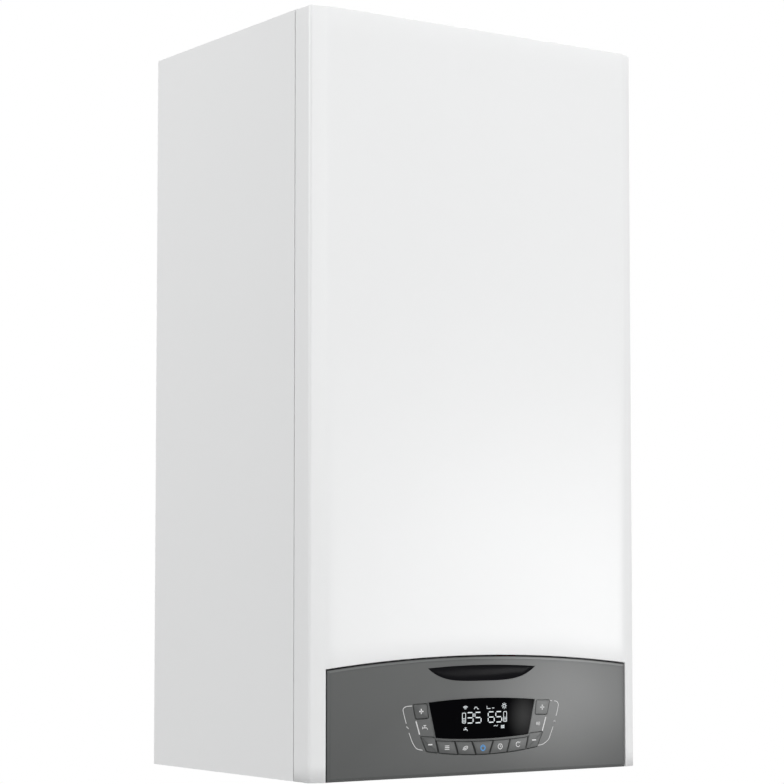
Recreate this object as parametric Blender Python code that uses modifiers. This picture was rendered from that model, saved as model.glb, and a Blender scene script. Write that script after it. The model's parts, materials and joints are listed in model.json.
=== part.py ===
# Wall-hung condensing boiler: sheet casing with a pull-off front cover, tilting control box,
# condensing heat exchanger with premix fan burner, and the hydraulic group below it.
# Frame: +Z up, the front faces -Y, the wall is the plane y = 0, x = 0 is the middle.
# Places are written as (x, depth from the wall, height above the casing's lower edge), in metres.

import math

import bmesh
import bpy
from mathutils import Matrix, Vector

# Casing
CASE_W = 0.400
CASE_H = 0.745
CASE_D = 0.315
BASE_Z = -CASE_H / 2
STAND_OFF = 0.007
SHEET = 0.001
GAP = 0.0003
SEAM = 0.0006
COVER_RETURN = 0.033
CHAMFER_W = 0.016
CHAMFER_D = 0.0063
FLANGE = 0.012
TRAY_INSET = 0.012
TRAY_END = 0.010
HOOK_X = 0.095
HOOK_W = 0.030
HOOK_SLOT_H = 0.010
HOOK_DROP = 0.047
PLATE_H = 0.038
PLATE_CLEAR = 0.017
PLATE_LIP = 0.014

# Cover fixings
PIN_INSET = 0.050
PIN_DROP = 0.025
PIN_R = 0.003
PIN_LENGTH = 0.009
TAB_W = 0.024
SCREW_X = 0.0095
SCREW_BACK = 0.010
SCREW_R = 0.002
SCREW_HEAD_R = 0.0038
SCREW_HEAD_T = 0.002
SCREW_LENGTH = 0.009
FOOT_H = 0.003

# Control fascia
FASCIA_GAP = 0.001
FASCIA_EDGE = 0.0013
FASCIA_END_H = 0.1056
FASCIA_RISE = 0.0106
FASCIA_T = 0.0025
FASCIA_WALL = 0.002
FASCIA_RIM = 0.012
NOTCH_RIM = 0.008
BADGE_W = 0.1315
BADGE_TIP_H = 0.1055
BADGE_TOP = 0.0023
BADGE_SAG = 0.0131
BADGE_T = 0.0011
BADGE_PROUD = 0.0003

# Keys and display, as half widths from the middle and heights
KEY_TRAVEL = 0.0012
KEY_PROUD = 0.0006
KEY_CLEAR = 0.0003
KEY_LIP = 0.0002
KEY_LIP_T = 0.0014
KEY_ROUND = 0.0016
PLUS_KEY = ((0.0657, 0.0574), (0.0808, 0.0569), (0.0840, 0.0709), (0.0675, 0.0712))
MINUS_KEY = ((0.0544, 0.0233), (0.0680, 0.0251), (0.0750, 0.0397), (0.0584, 0.0384))
ROW_TOP_HALF = 0.0559
ROW_FOOT_HALF = 0.0529
ROW_TOP_H = 0.0326
ROW_FOOT_H = 0.0200
ROW_TOP_RISE = 0.0022
ROW_FOOT_RISE = 0.0031
ROW_SPLIT = 0.0016
ROW_CUTS = ((-1.0, -1.0), (-0.61, -0.569), (-0.234, -0.153), (0.234, 0.153), (0.61, 0.569), (1.0, 1.0))
ROW_NAMES = ("menu_key", "eco_key", "power_key", "timer_key", "reset_key")
DISPLAY_TOP_HALF = 0.0649
DISPLAY_FOOT_HALF = 0.0567
DISPLAY_TOP_H = 0.0720
DISPLAY_FOOT_H = 0.0380
DISPLAY_TOP_RISE = 0.0028
DISPLAY_FOOT_DROP = 0.0025
DISPLAY_SINK = 0.0003

# Control box
HINGE_SET = 0.021
HINGE_H = 0.010
HINGE_PIN_R = 0.003
BOX_INSET = 0.008
BOX_CLEAR = 0.021
BOX_LOW = 0.008
BOX_TOP = 0.078
BOX_WALL = 0.002
BOX_PLATE_T = 0.0017
EAR_INSET = 0.0147
EAR_T = 0.003
ARM_T = 0.0015
ARM_REACH = 0.0055
BOARD_T = 0.0016
BOARD_SET = 0.005
MODULE_INSET = 0.002
# Transformer, relays, plug strips and capacitor: shares of the tub's half width, depth and height
BOARD_PARTS = (((-0.83, -0.57), 0.52, (0.17, 0.69)), ((-0.45, -0.32), 0.28, (0.23, 0.57)),
               ((-0.27, -0.14), 0.28, (0.23, 0.57)), ((0.06, 0.32), 0.21, (0.14, 0.29)),
               ((0.45, 0.83), 0.21, (0.14, 0.29)), ((0.51, 0.70), 0.41, (0.43, 0.74)))

# Heat exchanger, burner and vessel
FLUE_ROOM = 0.097
DRUM_BACK = 0.095
DRUM_CLEAR = 0.0047
DRUM_WALL = 0.004
DRUM_FLANGE = 0.010
DRUM_BEAD = 0.002
ROUND = 24
COIL_TURNS = 4
COIL_STEPS = 14
COIL_TUBE_R = 0.008
COIL_CLEAR = 0.020
PORT_INSET = 0.032
PORT_R = 0.010
PORT_DROP = 0.024
PORT_D = 0.120
DRAIN_SET = 0.043
DRAIN_R = 0.011
SEAL_T = 0.0014
DOOR_T = 0.006
DOOR_BOSS = 0.012
DOOR_NUTS = 6
NUT_R = 0.0058
NUT_T = 0.005
BURNER_R = 0.035
BURNER_CLEAR = 0.053
BURNER_WALL = 0.0012
VESSEL_CLEAR = 0.0337
VESSEL_T = 0.086
VESSEL_DROP = 0.205
VESSEL_SEAM = 0.004
VESSEL_WALL = 0.0015
NIPPLE_X = 0.100
NIPPLE_R = 0.006
EXPANSION_X = 0.056
CARRIER_T = 0.0015
CARRIER_HALF = 0.090
CARRIER_FLANGE = 0.015
CARRIER_TRIM = 0.002
SLOT_HALF_W = 0.020
SLOT_HALF_H = 0.030
SLOT_PITCH = 0.055
SLOT_INSET = 0.0337
SLOT_DROP = 0.045

# Flue
FLUE_D = 0.150
FLUE_X = -0.040
FLUE_R = 0.030
FLUE_WALL = 0.003
FLUE_BEND = 0.036
COLLAR_R = 0.0505
COLLAR_WALL = 0.0025
COLLAR_FLANGE = 0.066
COLLAR_H = 0.018
INTAKE_SET = 0.005
INTAKE_R = 0.040
INTAKE_RIM = 0.006
INTAKE_RIM_T = 0.003
INTAKE_CAP = 0.005

# Fan and gas train
FAN_INSET = 0.0687
FAN_D = 0.170
FAN_GAP = 0.002
FAN_BODY_H = 0.046
FAN_WALL = 0.003
FAN_R0 = 0.050
FAN_R1 = 0.066
FAN_MOUTH_W = 0.040
FAN_EYE_R = 0.022
WHEEL_R = 0.042
WHEEL_BLADES = 14
WHEEL_LIFT = 0.007
SHAFT_R = 0.0035
SHAFT_CLEAR = 0.0003
MOTOR_R = 0.040
MOTOR_H = 0.042
VENTURI_H = 0.060
VENTURI_R = 0.026
AIR_BRANCH_R = 0.013
SILENCER_GAP = 0.004
SILENCER_CLEAR = 0.002
SILENCER_BACK = 0.050
SILENCER_FRONT = 0.045
SILENCER_DROP = 0.040
SILENCER_TRIM = 0.006
VALVE_W = 0.056
VALVE_DEEP = 0.070
VALVE_BODY_H = 0.050
VALVE_BOSS = 0.010
DUCT_R = 0.020
DUCT_BEND = 0.022
DUCT_FLANGE_R = 0.028
DUCT_FLANGE_T = 0.004
DUCT_CLEAR = 0.0047

# Hydraulic group
STUB_D = 0.070
STUB_PITCH = 0.067
STUB_END = 0.003
HEAT_STUB_R = 0.0132
WATER_STUB_R = 0.0105
STUB_WALL = 0.003
HEX_R = 0.018
HEX_T = 0.009
BLOCK_LOW = 0.060
BLOCK_BACK = 0.045
BLOCK_FRONT = 0.125
FLOW_BLOCK_X = (-0.160, -0.045)
FLOW_BLOCK_TOP = 0.150
RETURN_BLOCK_X = (0.045, 0.165)
RETURN_BLOCK_TOP = 0.145
PLATES_X = (-0.095, 0.062)
PLATES_H = (0.086, 0.156)
PLATES_T = 0.040
PLATE_COUNT = 5
PLATE_EDGE = 0.0015
PLATE_BOSS = 0.003
PUMP_X = 0.120
PUMP_H = 0.190
PUMP_R = 0.046
PUMP_LENGTH = 0.075
VOLUTE_R = 0.050
VOLUTE_BACK = 0.085
PUMP_WHEEL_R = 0.030
PUMP_BLADES = 6
PIPE_R = 0.009
PIPE_BEND = 0.025
THIN_PIPE_R = 0.006
VENT_X = 0.150
VENT_R = 0.015
VENT_TALL = 0.060
DIVERTER_X = -0.095
DIVERTER_R = 0.021
DIVERTER_TALL = 0.052
SIPHON_INSET = 0.0487
SIPHON_D = 0.172
SIPHON_R = 0.026
SIPHON_TALL = 0.125
KNOB_X = 0.150
KNOB_H = 0.095
KNOB_R = 0.018
TAP_X = 0.100
TAP_D = 0.105
TAP_R = 0.012
GLAND_INSET = 0.0337
GLAND_SET = 0.025
SIPHON_NECK_R = 0.020
TAP_SHAFT_R = 0.004
GLAND_NECK_R = 0.008

FINISHES = {
    "white_enamel": ((0.80, 0.81, 0.82), 0.35, 0.0),
    "zinc_sheet": ((0.58, 0.60, 0.62), 0.40, 1.0),
    "stainless": ((0.60, 0.60, 0.58), 0.28, 1.0),
    "copper": ((0.72, 0.38, 0.24), 0.30, 1.0),
    "brass": ((0.72, 0.55, 0.28), 0.32, 1.0),
    "cast_aluminium": ((0.55, 0.56, 0.57), 0.50, 1.0),
    "grey_fascia": ((0.14, 0.14, 0.145), 0.38, 0.0),
    "black_plastic": ((0.02, 0.02, 0.022), 0.45, 0.0),
    "dark_glass": ((0.005, 0.005, 0.006), 0.08, 0.0),
    "red_lacquer": ((0.42, 0.03, 0.02), 0.40, 0.0),
    "red_plastic": ((0.45, 0.02, 0.02), 0.45, 0.0),
    "rubber": ((0.03, 0.03, 0.03), 0.80, 0.0),
    "ceramic": ((0.78, 0.76, 0.70), 0.40, 0.0),
    "blue_plastic": ((0.03, 0.12, 0.45), 0.45, 0.0),
    "circuit_green": ((0.02, 0.13, 0.06), 0.50, 0.0),
}

TURNS = {
    "up": (0.0, 0.0, 0.0),
    "down": (math.pi, 0.0, 0.0),
    "front": (math.pi / 2, 0.0, 0.0),
    "back": (-math.pi / 2, 0.0, 0.0),
    "right": (0.0, math.pi / 2, 0.0),
    "left": (0.0, -math.pi / 2, 0.0),
}

for old in list(bpy.data.objects):
    bpy.data.objects.remove(old, do_unlink=True)

parts = bpy.data.collections.new("condensing_boiler")
tools = bpy.data.collections.new("cutters")
for collection in (parts, tools):
    bpy.context.scene.collection.children.link(collection)


def place(x, depth, height):
    """World position of a point given as side, depth from the wall and height."""
    return Vector((x, -depth, BASE_Z + height))


def finish(name):
    """The Principled material of one finish, made the first time it is asked for."""
    known = bpy.data.materials.get(name)
    if known:
        return known
    colour, roughness, metallic = FINISHES[name]
    made = bpy.data.materials.new(name)
    made.use_nodes = True
    shader = made.node_tree.nodes["Principled BSDF"]
    shader.inputs["Base Color"].default_value = (*colour, 1.0)
    shader.inputs["Roughness"].default_value = roughness
    shader.inputs["Metallic"].default_value = metallic
    return made


def add_object(name, mesh, look, location=(0.0, 0.0, 0.0), turn="up"):
    """Put a mesh into the parts collection at its place."""
    piece = bpy.data.objects.new(name, mesh)
    parts.objects.link(piece)
    if look:
        mesh.materials.append(finish(look))
    piece.location = location
    piece.rotation_euler = TURNS[turn]
    return piece


def from_bmesh(name, shape, look, location=(0.0, 0.0, 0.0), turn="up"):
    """Turn a bmesh into an object, shaded smooth where its faces are nearly level."""
    mesh = bpy.data.meshes.new(name)
    shape.to_mesh(mesh)
    shape.free()
    mesh.shade_smooth()
    mesh.set_sharp_from_angle(angle=math.radians(35))
    return add_object(name, mesh, look, location, turn)


def slab(name, x, depth, height, look=None):
    """A box from its lowest to its highest side, depth and height."""
    low = Vector((min(x), -max(depth), BASE_Z + min(height)))
    high = Vector((max(x), -min(depth), BASE_Z + max(height)))
    shape = bmesh.new()
    bmesh.ops.create_cube(shape, size=1.0)
    bmesh.ops.scale(shape, vec=high - low, verts=shape.verts)
    return from_bmesh(name, shape, look, (low + high) / 2)


def rod(name, start, turn, radius, length, look=None, sides=16, end_radius=None):
    """A cylinder or cone that grows from its start point in one direction."""
    shape = bmesh.new()
    far = radius if end_radius is None else end_radius
    bmesh.ops.create_cone(
        shape, cap_ends=True, segments=sides, radius1=radius, radius2=far, depth=length)
    bmesh.ops.translate(shape, vec=(0.0, 0.0, length / 2), verts=shape.verts)
    return from_bmesh(name, shape, look, place(*start), turn)


def turned(name, profile, start, turn, look=None, steps=ROUND, closed=False):
    """A turned solid; the profile holds (radius, distance) pairs, outer side first to last."""
    mesh = bpy.data.meshes.new(name)
    edges = [(i, i + 1) for i in range(len(profile) - 1)]
    if closed:
        edges.append((len(profile) - 1, 0))
    mesh.from_pydata([(radius, 0.0, along) for radius, along in profile], edges, [])
    piece = add_object(name, mesh, look, place(*start), turn)
    screw = piece.modifiers.new("Turn", "SCREW")
    screw.steps = steps
    screw.render_steps = steps
    screw.use_merge_vertices = True
    screw.merge_threshold = 0.00001
    screw.use_smooth_shade = True
    return piece


def as_mesh(piece):
    """Replace a curve by its welded mesh, with the faces turned outwards."""
    name = piece.name
    seen = piece.evaluated_get(bpy.context.evaluated_depsgraph_get())
    mesh = bpy.data.meshes.new_from_object(seen)
    shape = bmesh.new()
    shape.from_mesh(mesh)
    bmesh.ops.remove_doubles(shape, verts=shape.verts, dist=0.000005)
    bmesh.ops.recalc_face_normals(shape, faces=shape.faces)
    shape.to_mesh(mesh)
    shape.free()
    mesh.shade_smooth()
    mesh.set_sharp_from_angle(angle=math.radians(35))
    matrix = piece.matrix_world.copy()
    bpy.data.objects.remove(piece, do_unlink=True)
    solid = bpy.data.objects.new(name, mesh)
    parts.objects.link(solid)
    solid.matrix_world = matrix
    return solid


def prism(name, outlines, plane, span, look=None):
    """A flat outline with its holes, drawn in the front, plan or side view, made thick."""
    curve = bpy.data.curves.new(name, "CURVE")
    curve.dimensions = "2D"
    curve.fill_mode = "BOTH"
    curve.extrude = abs(span[1] - span[0]) / 2
    middle = (span[0] + span[1]) / 2
    for outline in outlines:
        spline = curve.splines.new("POLY")
        spline.points.add(len(outline) - 1)
        spline.use_cyclic_u = True
        for point, (across, up) in zip(spline.points, outline):
            if plane == "front":
                point.co = (across, BASE_Z + up, 0.0, 1.0)
            elif plane == "plan":
                point.co = (across, -up, 0.0, 1.0)
            else:
                point.co = (-across, BASE_Z + up, 0.0, 1.0)
    if look:
        curve.materials.append(finish(look))
    piece = bpy.data.objects.new(name, curve)
    parts.objects.link(piece)
    if plane == "front":
        piece.location = (0.0, -middle, 0.0)
        piece.rotation_euler = (math.pi / 2, 0.0, 0.0)
    elif plane == "plan":
        piece.location = (0.0, 0.0, BASE_Z + middle)
    else:
        piece.location = (middle, 0.0, 0.0)
        piece.rotation_euler = (math.pi / 2, 0.0, math.pi / 2)
    bpy.context.view_layer.update()
    return as_mesh(piece)


def bent_path(corners, bend, steps=5):
    """Points along straight runs whose corners are rounded to the bend radius."""
    points = [corners[0]]
    for before, corner, after in zip(corners, corners[1:], corners[2:]):
        back = (before - corner).normalized()
        ahead = (after - corner).normalized()
        half = back.angle(ahead) / 2
        bisector = (back + ahead).normalized()
        centre = corner + bisector * bend / math.sin(half)
        first = corner + back * bend / math.tan(half) - centre
        last = corner + ahead * bend / math.tan(half) - centre
        axis = first.cross(last).normalized()
        sweep = first.angle(last)
        for step in range(steps + 1):
            turn = Matrix.Rotation(sweep * step / steps, 3, axis)
            points.append(centre + turn @ first)
    points.append(corners[-1])
    return points


def pipe_along(name, points, radius, look=None, resolution=2):
    """A round tube with closed ends along world points."""
    curve = bpy.data.curves.new(name, "CURVE")
    curve.dimensions = "3D"
    curve.bevel_depth = radius
    curve.bevel_resolution = resolution
    curve.use_fill_caps = True
    spline = curve.splines.new("POLY")
    spline.points.add(len(points) - 1)
    for knot, point in zip(spline.points, points):
        knot.co = (*point, 1.0)
    if look:
        curve.materials.append(finish(look))
    piece = bpy.data.objects.new(name, curve)
    parts.objects.link(piece)
    bpy.context.view_layer.update()
    return as_mesh(piece)


def pipe(name, corners, radius, bend, look=None, resolution=2, steps=5):
    """A bent pipe through corners given as (side, depth, height)."""
    world = [place(*corner) for corner in corners]
    return pipe_along(name, bent_path(world, bend, steps), radius, look, resolution)


def use_tool(target, tool, operation, solver="EXACT"):
    """Apply a tool object to a piece with a live Boolean, and set the tool aside."""
    change = target.modifiers.new(tool.name, "BOOLEAN")
    change.operation = operation
    change.solver = solver
    change.object = tool
    parts.objects.unlink(tool)
    tools.objects.link(tool)
    tool.hide_render = True
    tool.display_type = "WIRE"
    return target


def fuse(target, *others, solver="EXACT"):
    """Join other shapes to a piece."""
    for other in others:
        use_tool(target, other, "UNION", solver)
    return target


def cut(target, *others):
    """Take other shapes out of a piece."""
    for other in others:
        use_tool(target, other, "DIFFERENCE")
    return target


def grown(outline, by):
    """An outline moved outwards by an even distance, corner by corner."""
    area = sum(a[0] * b[1] - b[0] * a[1] for a, b in zip(outline, outline[1:] + outline[:1]))
    way = 1.0 if area > 0 else -1.0
    moved = []
    for i, corner in enumerate(outline):
        point = Vector(corner)
        into = (point - Vector(outline[i - 1])).normalized()
        out = (Vector(outline[(i + 1) % len(outline)]) - point).normalized()
        side = Vector((into.y, -into.x)) + Vector((out.y, -out.x))
        side = side.normalized() * way
        lean = side.dot(Vector((into.y, -into.x)) * way)
        moved.append(tuple(point + side * by / lean))
    return moved


def rounded(outline, radius, steps=2):
    """An outline with every corner rounded to one radius."""
    smooth = []
    count = len(outline)
    for i, corner in enumerate(outline):
        point = Vector((*corner, 0.0))
        before = Vector((*outline[i - 1], 0.0))
        after = Vector((*outline[(i + 1) % count], 0.0))
        for knot in bent_path([before, point, after], radius, steps)[1:-1]:
            smooth.append((knot.x, knot.y))
    return smooth


def rectangle(across, up):
    """A rectangular outline from its two ranges."""
    return [(across[0], up[0]), (across[1], up[0]), (across[1], up[1]), (across[0], up[1])]


# Edges that several pieces share
SIDE = CASE_W / 2
INNER_HALF = SIDE - SHEET - GAP
PANEL_FRONT = CASE_D - COVER_RETURN - SEAM
COVER_BACK = CASE_D - COVER_RETURN
UNDER_TOP = CASE_H - SHEET - GAP
PLATE_TOP = PLATE_H + SHEET + GAP
BEHIND = STAND_OFF + SHEET + GAP
STUB_XS = [STUB_PITCH * i for i in (-2, -1, 0, 1, 2)]
STUB_RS = [HEAT_STUB_R, WATER_STUB_R, WATER_STUB_R, WATER_STUB_R, HEAT_STUB_R]
SCREW_D = PANEL_FRONT - SCREW_BACK
LIP_LOW = FOOT_H + SCREW_LENGTH + 0.001
PIN_X = SIDE - PIN_INSET
FASCIA_HALF = SIDE - CHAMFER_W - FASCIA_EDGE
INTAKE_X = (COLLAR_FLANGE + SIDE) / 2 - INTAKE_SET
SIPHON_X = SIPHON_INSET - INNER_HALF
PLATE_D = SIPHON_D + SIPHON_R + PLATE_CLEAR
GLAND_X = INNER_HALF - GLAND_INSET
GLAND_D = PLATE_D - GLAND_SET


def arch_outline(outwards, low):
    """The fascia's outline with its arched top, moved outwards by an even gap."""
    half = FASCIA_HALF
    arch_r = (half ** 2 + FASCIA_RISE ** 2) / (2 * FASCIA_RISE)
    centre = FASCIA_END_H + FASCIA_RISE - arch_r
    wide = half + outwards
    swing = math.asin(wide / (arch_r + outwards))
    steps = 12
    points = [(-wide, low), (wide, low)]
    for i in range(steps + 1):
        turn = swing * (1 - 2 * i / steps)
        reach = arch_r + outwards
        points.append((reach * math.sin(turn), centre + reach * math.cos(turn)))
    return points


def make_rear_panel():
    """Pressed tray against the wall, with two slots for the hanging hooks."""
    field = SIDE - TRAY_INSET
    panel = slab("rear_panel", (-INNER_HALF, INNER_HALF), (STAND_OFF, STAND_OFF + SHEET),
                 (0, UNDER_TOP), "zinc_sheet")
    tray = slab("tray", (-field, field), (0, STAND_OFF + SHEET / 2), (TRAY_END, CASE_H - TRAY_END))
    hollow = slab("tray_hollow", (SHEET - field, field - SHEET), (SHEET, STAND_OFF + 2 * SHEET),
                  (TRAY_END + SHEET, CASE_H - TRAY_END - SHEET))
    cut(fuse(panel, tray), hollow)
    top = CASE_H - HOOK_DROP
    for middle in (-HOOK_X, HOOK_X):
        slot = slab("hook_slot", (middle - HOOK_W / 2, middle + HOOK_W / 2), (-SHEET, 2 * SHEET),
                    (top - HOOK_SLOT_H, top))
        cut(panel, slot)


def make_side_panel(name, side):
    """Painted side sheet with a front lip and a foot flange, open for the captive screw."""
    panel = slab(name, (side * (SIDE - SHEET), side * SIDE), (STAND_OFF, PANEL_FRONT),
                 (0, CASE_H), "white_enamel")
    lip = slab("side_lip", (side * (SIDE - FLANGE), side * (SIDE - SHEET / 2)),
               (PANEL_FRONT - SHEET, PANEL_FRONT), (LIP_LOW, UNDER_TOP))
    foot_low = FOOT_H + SHEET + GAP
    screw_x = side * (SIDE - SCREW_X)
    wide = SCREW_R + 2 * GAP
    foot = slab("side_foot", (side * (SIDE - 1.5 * FLANGE), side * (SIDE - SHEET / 2)),
                (PANEL_FRONT - 3 * FLANGE, PANEL_FRONT), (foot_low, foot_low + SHEET))
    slot = slab("screw_slot", (screw_x - wide, screw_x + wide), (SCREW_D - wide, PANEL_FRONT + SHEET),
                (foot_low - SHEET, foot_low + 2 * SHEET))
    cut(fuse(panel, lip, foot), slot)
    make_hinge_bracket(side, panel)


def make_top_panel():
    """Top sheet with side and front flanges, flue and air holes, and the cover's two pins."""
    panel = slab("top_panel", (-INNER_HALF, INNER_HALF), (STAND_OFF, PANEL_FRONT),
                 (CASE_H - SHEET, CASE_H), "zinc_sheet")
    front_half = SIDE - FLANGE - GAP
    pin_h = CASE_H - PIN_DROP
    fuse(panel, slab("top_front", (-front_half, front_half), (PANEL_FRONT - SHEET, PANEL_FRONT),
                     (pin_h - 3 * PIN_R, CASE_H - SHEET / 2)))
    for side in (-1, 1):
        fuse(panel, slab("top_side", (side * (INNER_HALF - SHEET), side * INNER_HALF),
                         (STAND_OFF + 3 * SHEET, PANEL_FRONT - 3 * SHEET),
                         (CASE_H - FLANGE, CASE_H - SHEET / 2)))
        fuse(panel, rod("cover_pin", (side * PIN_X, PANEL_FRONT - SHEET / 2, pin_h), "front",
                        PIN_R, PIN_LENGTH, sides=12, end_radius=PIN_R * 0.7))
    cut(panel, rod("intake_hole", (INTAKE_X, FLUE_D, CASE_H - 2 * SHEET), "up", INTAKE_R, 3 * SHEET,
                   sides=ROUND))
    cut(panel, rod("flue_hole", (0, FLUE_D, CASE_H - 2 * SHEET), "up",
                   COLLAR_R - COLLAR_WALL, 3 * SHEET, sides=ROUND))


def make_connection_plate():
    """Lower sheet that the pipe ends, the trap, the tap and the cable gland pass through."""
    plate = slab("connection_plate", (-INNER_HALF, INNER_HALF), (BEHIND, PLATE_D),
                 (PLATE_H, PLATE_H + SHEET), "zinc_sheet")
    fuse(plate, slab("plate_lip", (-INNER_HALF, INNER_HALF), (PLATE_D - SHEET, PLATE_D),
                     (PLATE_H + SHEET / 2, PLATE_H + PLATE_LIP)))
    holes = [(x, STUB_D, r + GAP) for x, r in zip(STUB_XS, STUB_RS)]
    holes.append((SIPHON_X, SIPHON_D, SIPHON_NECK_R + GAP))
    holes.append((TAP_X, TAP_D, TAP_SHAFT_R + GAP))
    holes.append((GLAND_X, GLAND_D, GLAND_NECK_R + GAP))
    sides = 14
    for x, depth, radius in holes:
        cut(plate, rod("plate_hole", (x, depth, PLATE_H - SHEET), "up", radius / math.cos(math.pi / sides),
                       3 * SHEET, sides=sides))


def make_front_cover():
    """Pull-off cover: chamfered front, side returns, inner flanges, arched notch and captive screws."""
    bevel = SIDE - CHAMFER_W
    outer = [(-SIDE, COVER_BACK), (SIDE, COVER_BACK), (SIDE, CASE_D - CHAMFER_D), (bevel, CASE_D),
             (-bevel, CASE_D), (-SIDE, CASE_D - CHAMFER_D)]
    inner = grown(outer, -SHEET)
    window_half = SIDE - SHEET - FLANGE
    cover = prism("front_cover", [outer], "plan", (0, CASE_H), "white_enamel")
    cut(cover, prism("cover_hollow", [inner], "plan", (FOOT_H + SHEET, CASE_H - SHEET)))
    cut(cover, prism("foot_hollow", [inner], "plan", (-SHEET, FOOT_H)))
    cut(cover, slab("cover_window", (-window_half, window_half),
                    (COVER_BACK - SHEET, COVER_BACK + 2 * SHEET), (-SHEET, CASE_H - SHEET - FLANGE)))
    fuse(cover, prism("notch_rim", [arch_outline(FASCIA_GAP + SHEET, FOOT_H)], "front",
                      (CASE_D - NOTCH_RIM, CASE_D - SHEET / 2)))
    cut(cover, prism("notch", [arch_outline(FASCIA_GAP, -SHEET)], "front",
                     (COVER_BACK - SHEET, CASE_D + SHEET)))
    pin_h = CASE_H - PIN_DROP
    for side in (-1, 1):
        x = side * PIN_X
        fuse(cover, slab("pin_tab", (x - TAB_W / 2, x + TAB_W / 2), (COVER_BACK, COVER_BACK + SHEET),
                         (pin_h - 3 * PIN_R, CASE_H - FLANGE)))
        cut(cover, rod("pin_hole", (x, COVER_BACK - SHEET, pin_h), "front", PIN_R + GAP,
                       3 * SHEET, sides=12))
        screw_x = side * (SIDE - SCREW_X)
        fuse(cover, slab("screw_tab", (side * (SIDE - SHEET - 2 * GAP), side * (SIDE - 1.4 * FLANGE)),
                         (SCREW_D - 3 * SCREW_R, COVER_BACK + 3 * SHEET), (FOOT_H, FOOT_H + SHEET)))
        head_low = FOOT_H + SHEET / 4 - SCREW_HEAD_T
        fuse(cover, rod("screw_head", (screw_x, SCREW_D, head_low), "up", SCREW_HEAD_R * 0.8,
                        SCREW_HEAD_T, sides=12, end_radius=SCREW_HEAD_R))
        fuse(cover, rod("screw_shank", (screw_x, SCREW_D, FOOT_H + SHEET / 2), "up", SCREW_R,
                        SCREW_LENGTH - SHEET, sides=10))


# Depths of the fascia and its parts
FASCIA_REAR = CASE_D - FASCIA_T
RIM_REAR = CASE_D - FASCIA_RIM
BOX_PLATE_REAR = RIM_REAR - GAP - BOX_PLATE_T
EAR_X = FASCIA_HALF - EAR_INSET
BOX_HALF = EAR_X - BOX_INSET
BOX_BACK = PLATE_D + BOX_CLEAR
HINGE_D = CASE_D - HINGE_SET
BOARD_D = BOX_PLATE_REAR - BOARD_SET
KEY_LIP_FRONT = FASCIA_REAR - GAP
BOARD_FRONT = BOARD_D + BOARD_T
STEM_REAR = BOARD_FRONT + KEY_TRAVEL + GAP


def sagged(low_half, high_half, low_h, high_h, low_drop, high_rise, steps=6):
    """A four-sided outline whose lower and upper edges are bowed."""
    points = []
    for i in range(steps + 1):
        across = 2 * i / steps - 1
        points.append((across * low_half, low_h - low_drop * (1 - across ** 2)))
    for i in range(steps + 1):
        across = 1 - 2 * i / steps
        points.append((across * high_half, high_h + high_rise * (1 - across ** 2)))
    return points


def display_outline():
    """The display window: wider above, with both long edges bowed."""
    return sagged(DISPLAY_FOOT_HALF, DISPLAY_TOP_HALF, DISPLAY_FOOT_H, DISPLAY_TOP_H,
                  DISPLAY_FOOT_DROP, DISPLAY_TOP_RISE)


def badge_outline():
    """The lens-shaped insert: two bowed edges that meet in a tip at each side."""
    half = BADGE_W / 2
    steps = 10
    lower = [2 * i / steps - 1 for i in range(steps + 1)]
    points = [(across * half, BADGE_TIP_H - BADGE_SAG * (1 - across ** 4)) for across in lower]
    upper = lower[-2:0:-1]
    points += [(across * half, BADGE_TIP_H + BADGE_TOP * (1 - across ** 2)) for across in upper]
    return points


def row_key_outline(index):
    """One key of the fan-shaped lower row, between two of its slanted cuts."""
    (top_left, foot_left), (top_right, foot_right) = ROW_CUTS[index], ROW_CUTS[index + 1]
    trim = ROW_SPLIT / 2
    left_trim = 0.0 if index == 0 else trim
    right_trim = 0.0 if index == len(ROW_NAMES) - 1 else trim
    steps = 3
    points = []
    for i in range(steps + 1):
        share = i / steps
        across = foot_left + (foot_right - foot_left) * share
        inset = left_trim * (1 - share) - right_trim * share
        points.append((across * ROW_FOOT_HALF + inset, ROW_FOOT_H + ROW_FOOT_RISE * across ** 2))
    for i in range(steps + 1):
        share = 1 - i / steps
        across = top_left + (top_right - top_left) * share
        inset = left_trim * (1 - share) - right_trim * share
        points.append((across * ROW_TOP_HALF + inset, ROW_TOP_H + ROW_TOP_RISE * across ** 2))
    return points


def key_outlines():
    """Every key's name with its outline on the fascia's face."""
    keys = {}
    for kind, outline in (("plus", PLUS_KEY), ("minus", MINUS_KEY)):
        for side, word in ((-1, "left"), (1, "right")):
            corners = [(side * x, h) for x, h in outline]
            keys[f"{word}_{kind}_key"] = rounded(corners, KEY_ROUND)
    for index, name in enumerate(ROW_NAMES):
        keys[name] = row_key_outline(index)
    return keys


def make_fascia():
    """Moulded fascia: front plate, rim wall, badge recess, display opening and key holes."""
    fascia = prism("control_fascia", [arch_outline(0.0, 0.0)], "front", (RIM_REAR, CASE_D),
                   "grey_fascia")
    inside = grown(arch_outline(0.0, 0.0), -FASCIA_WALL)
    cut(fascia, prism("fascia_hollow", [inside], "front", (RIM_REAR - SHEET, FASCIA_REAR)))
    cut(fascia, prism("badge_recess", [grown(badge_outline(), GAP)], "front",
                      (CASE_D + BADGE_PROUD - BADGE_T - GAP, CASE_D + SHEET)))
    cut(fascia, prism("display_opening", [grown(display_outline(), GAP)], "front",
                      (FASCIA_REAR - SHEET, CASE_D + SHEET)))
    for name, outline in key_outlines().items():
        cut(fascia, prism(name + "_hole", [grown(outline, KEY_CLEAR)], "front",
                          (FASCIA_REAR - SHEET, CASE_D + SHEET)))


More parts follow.
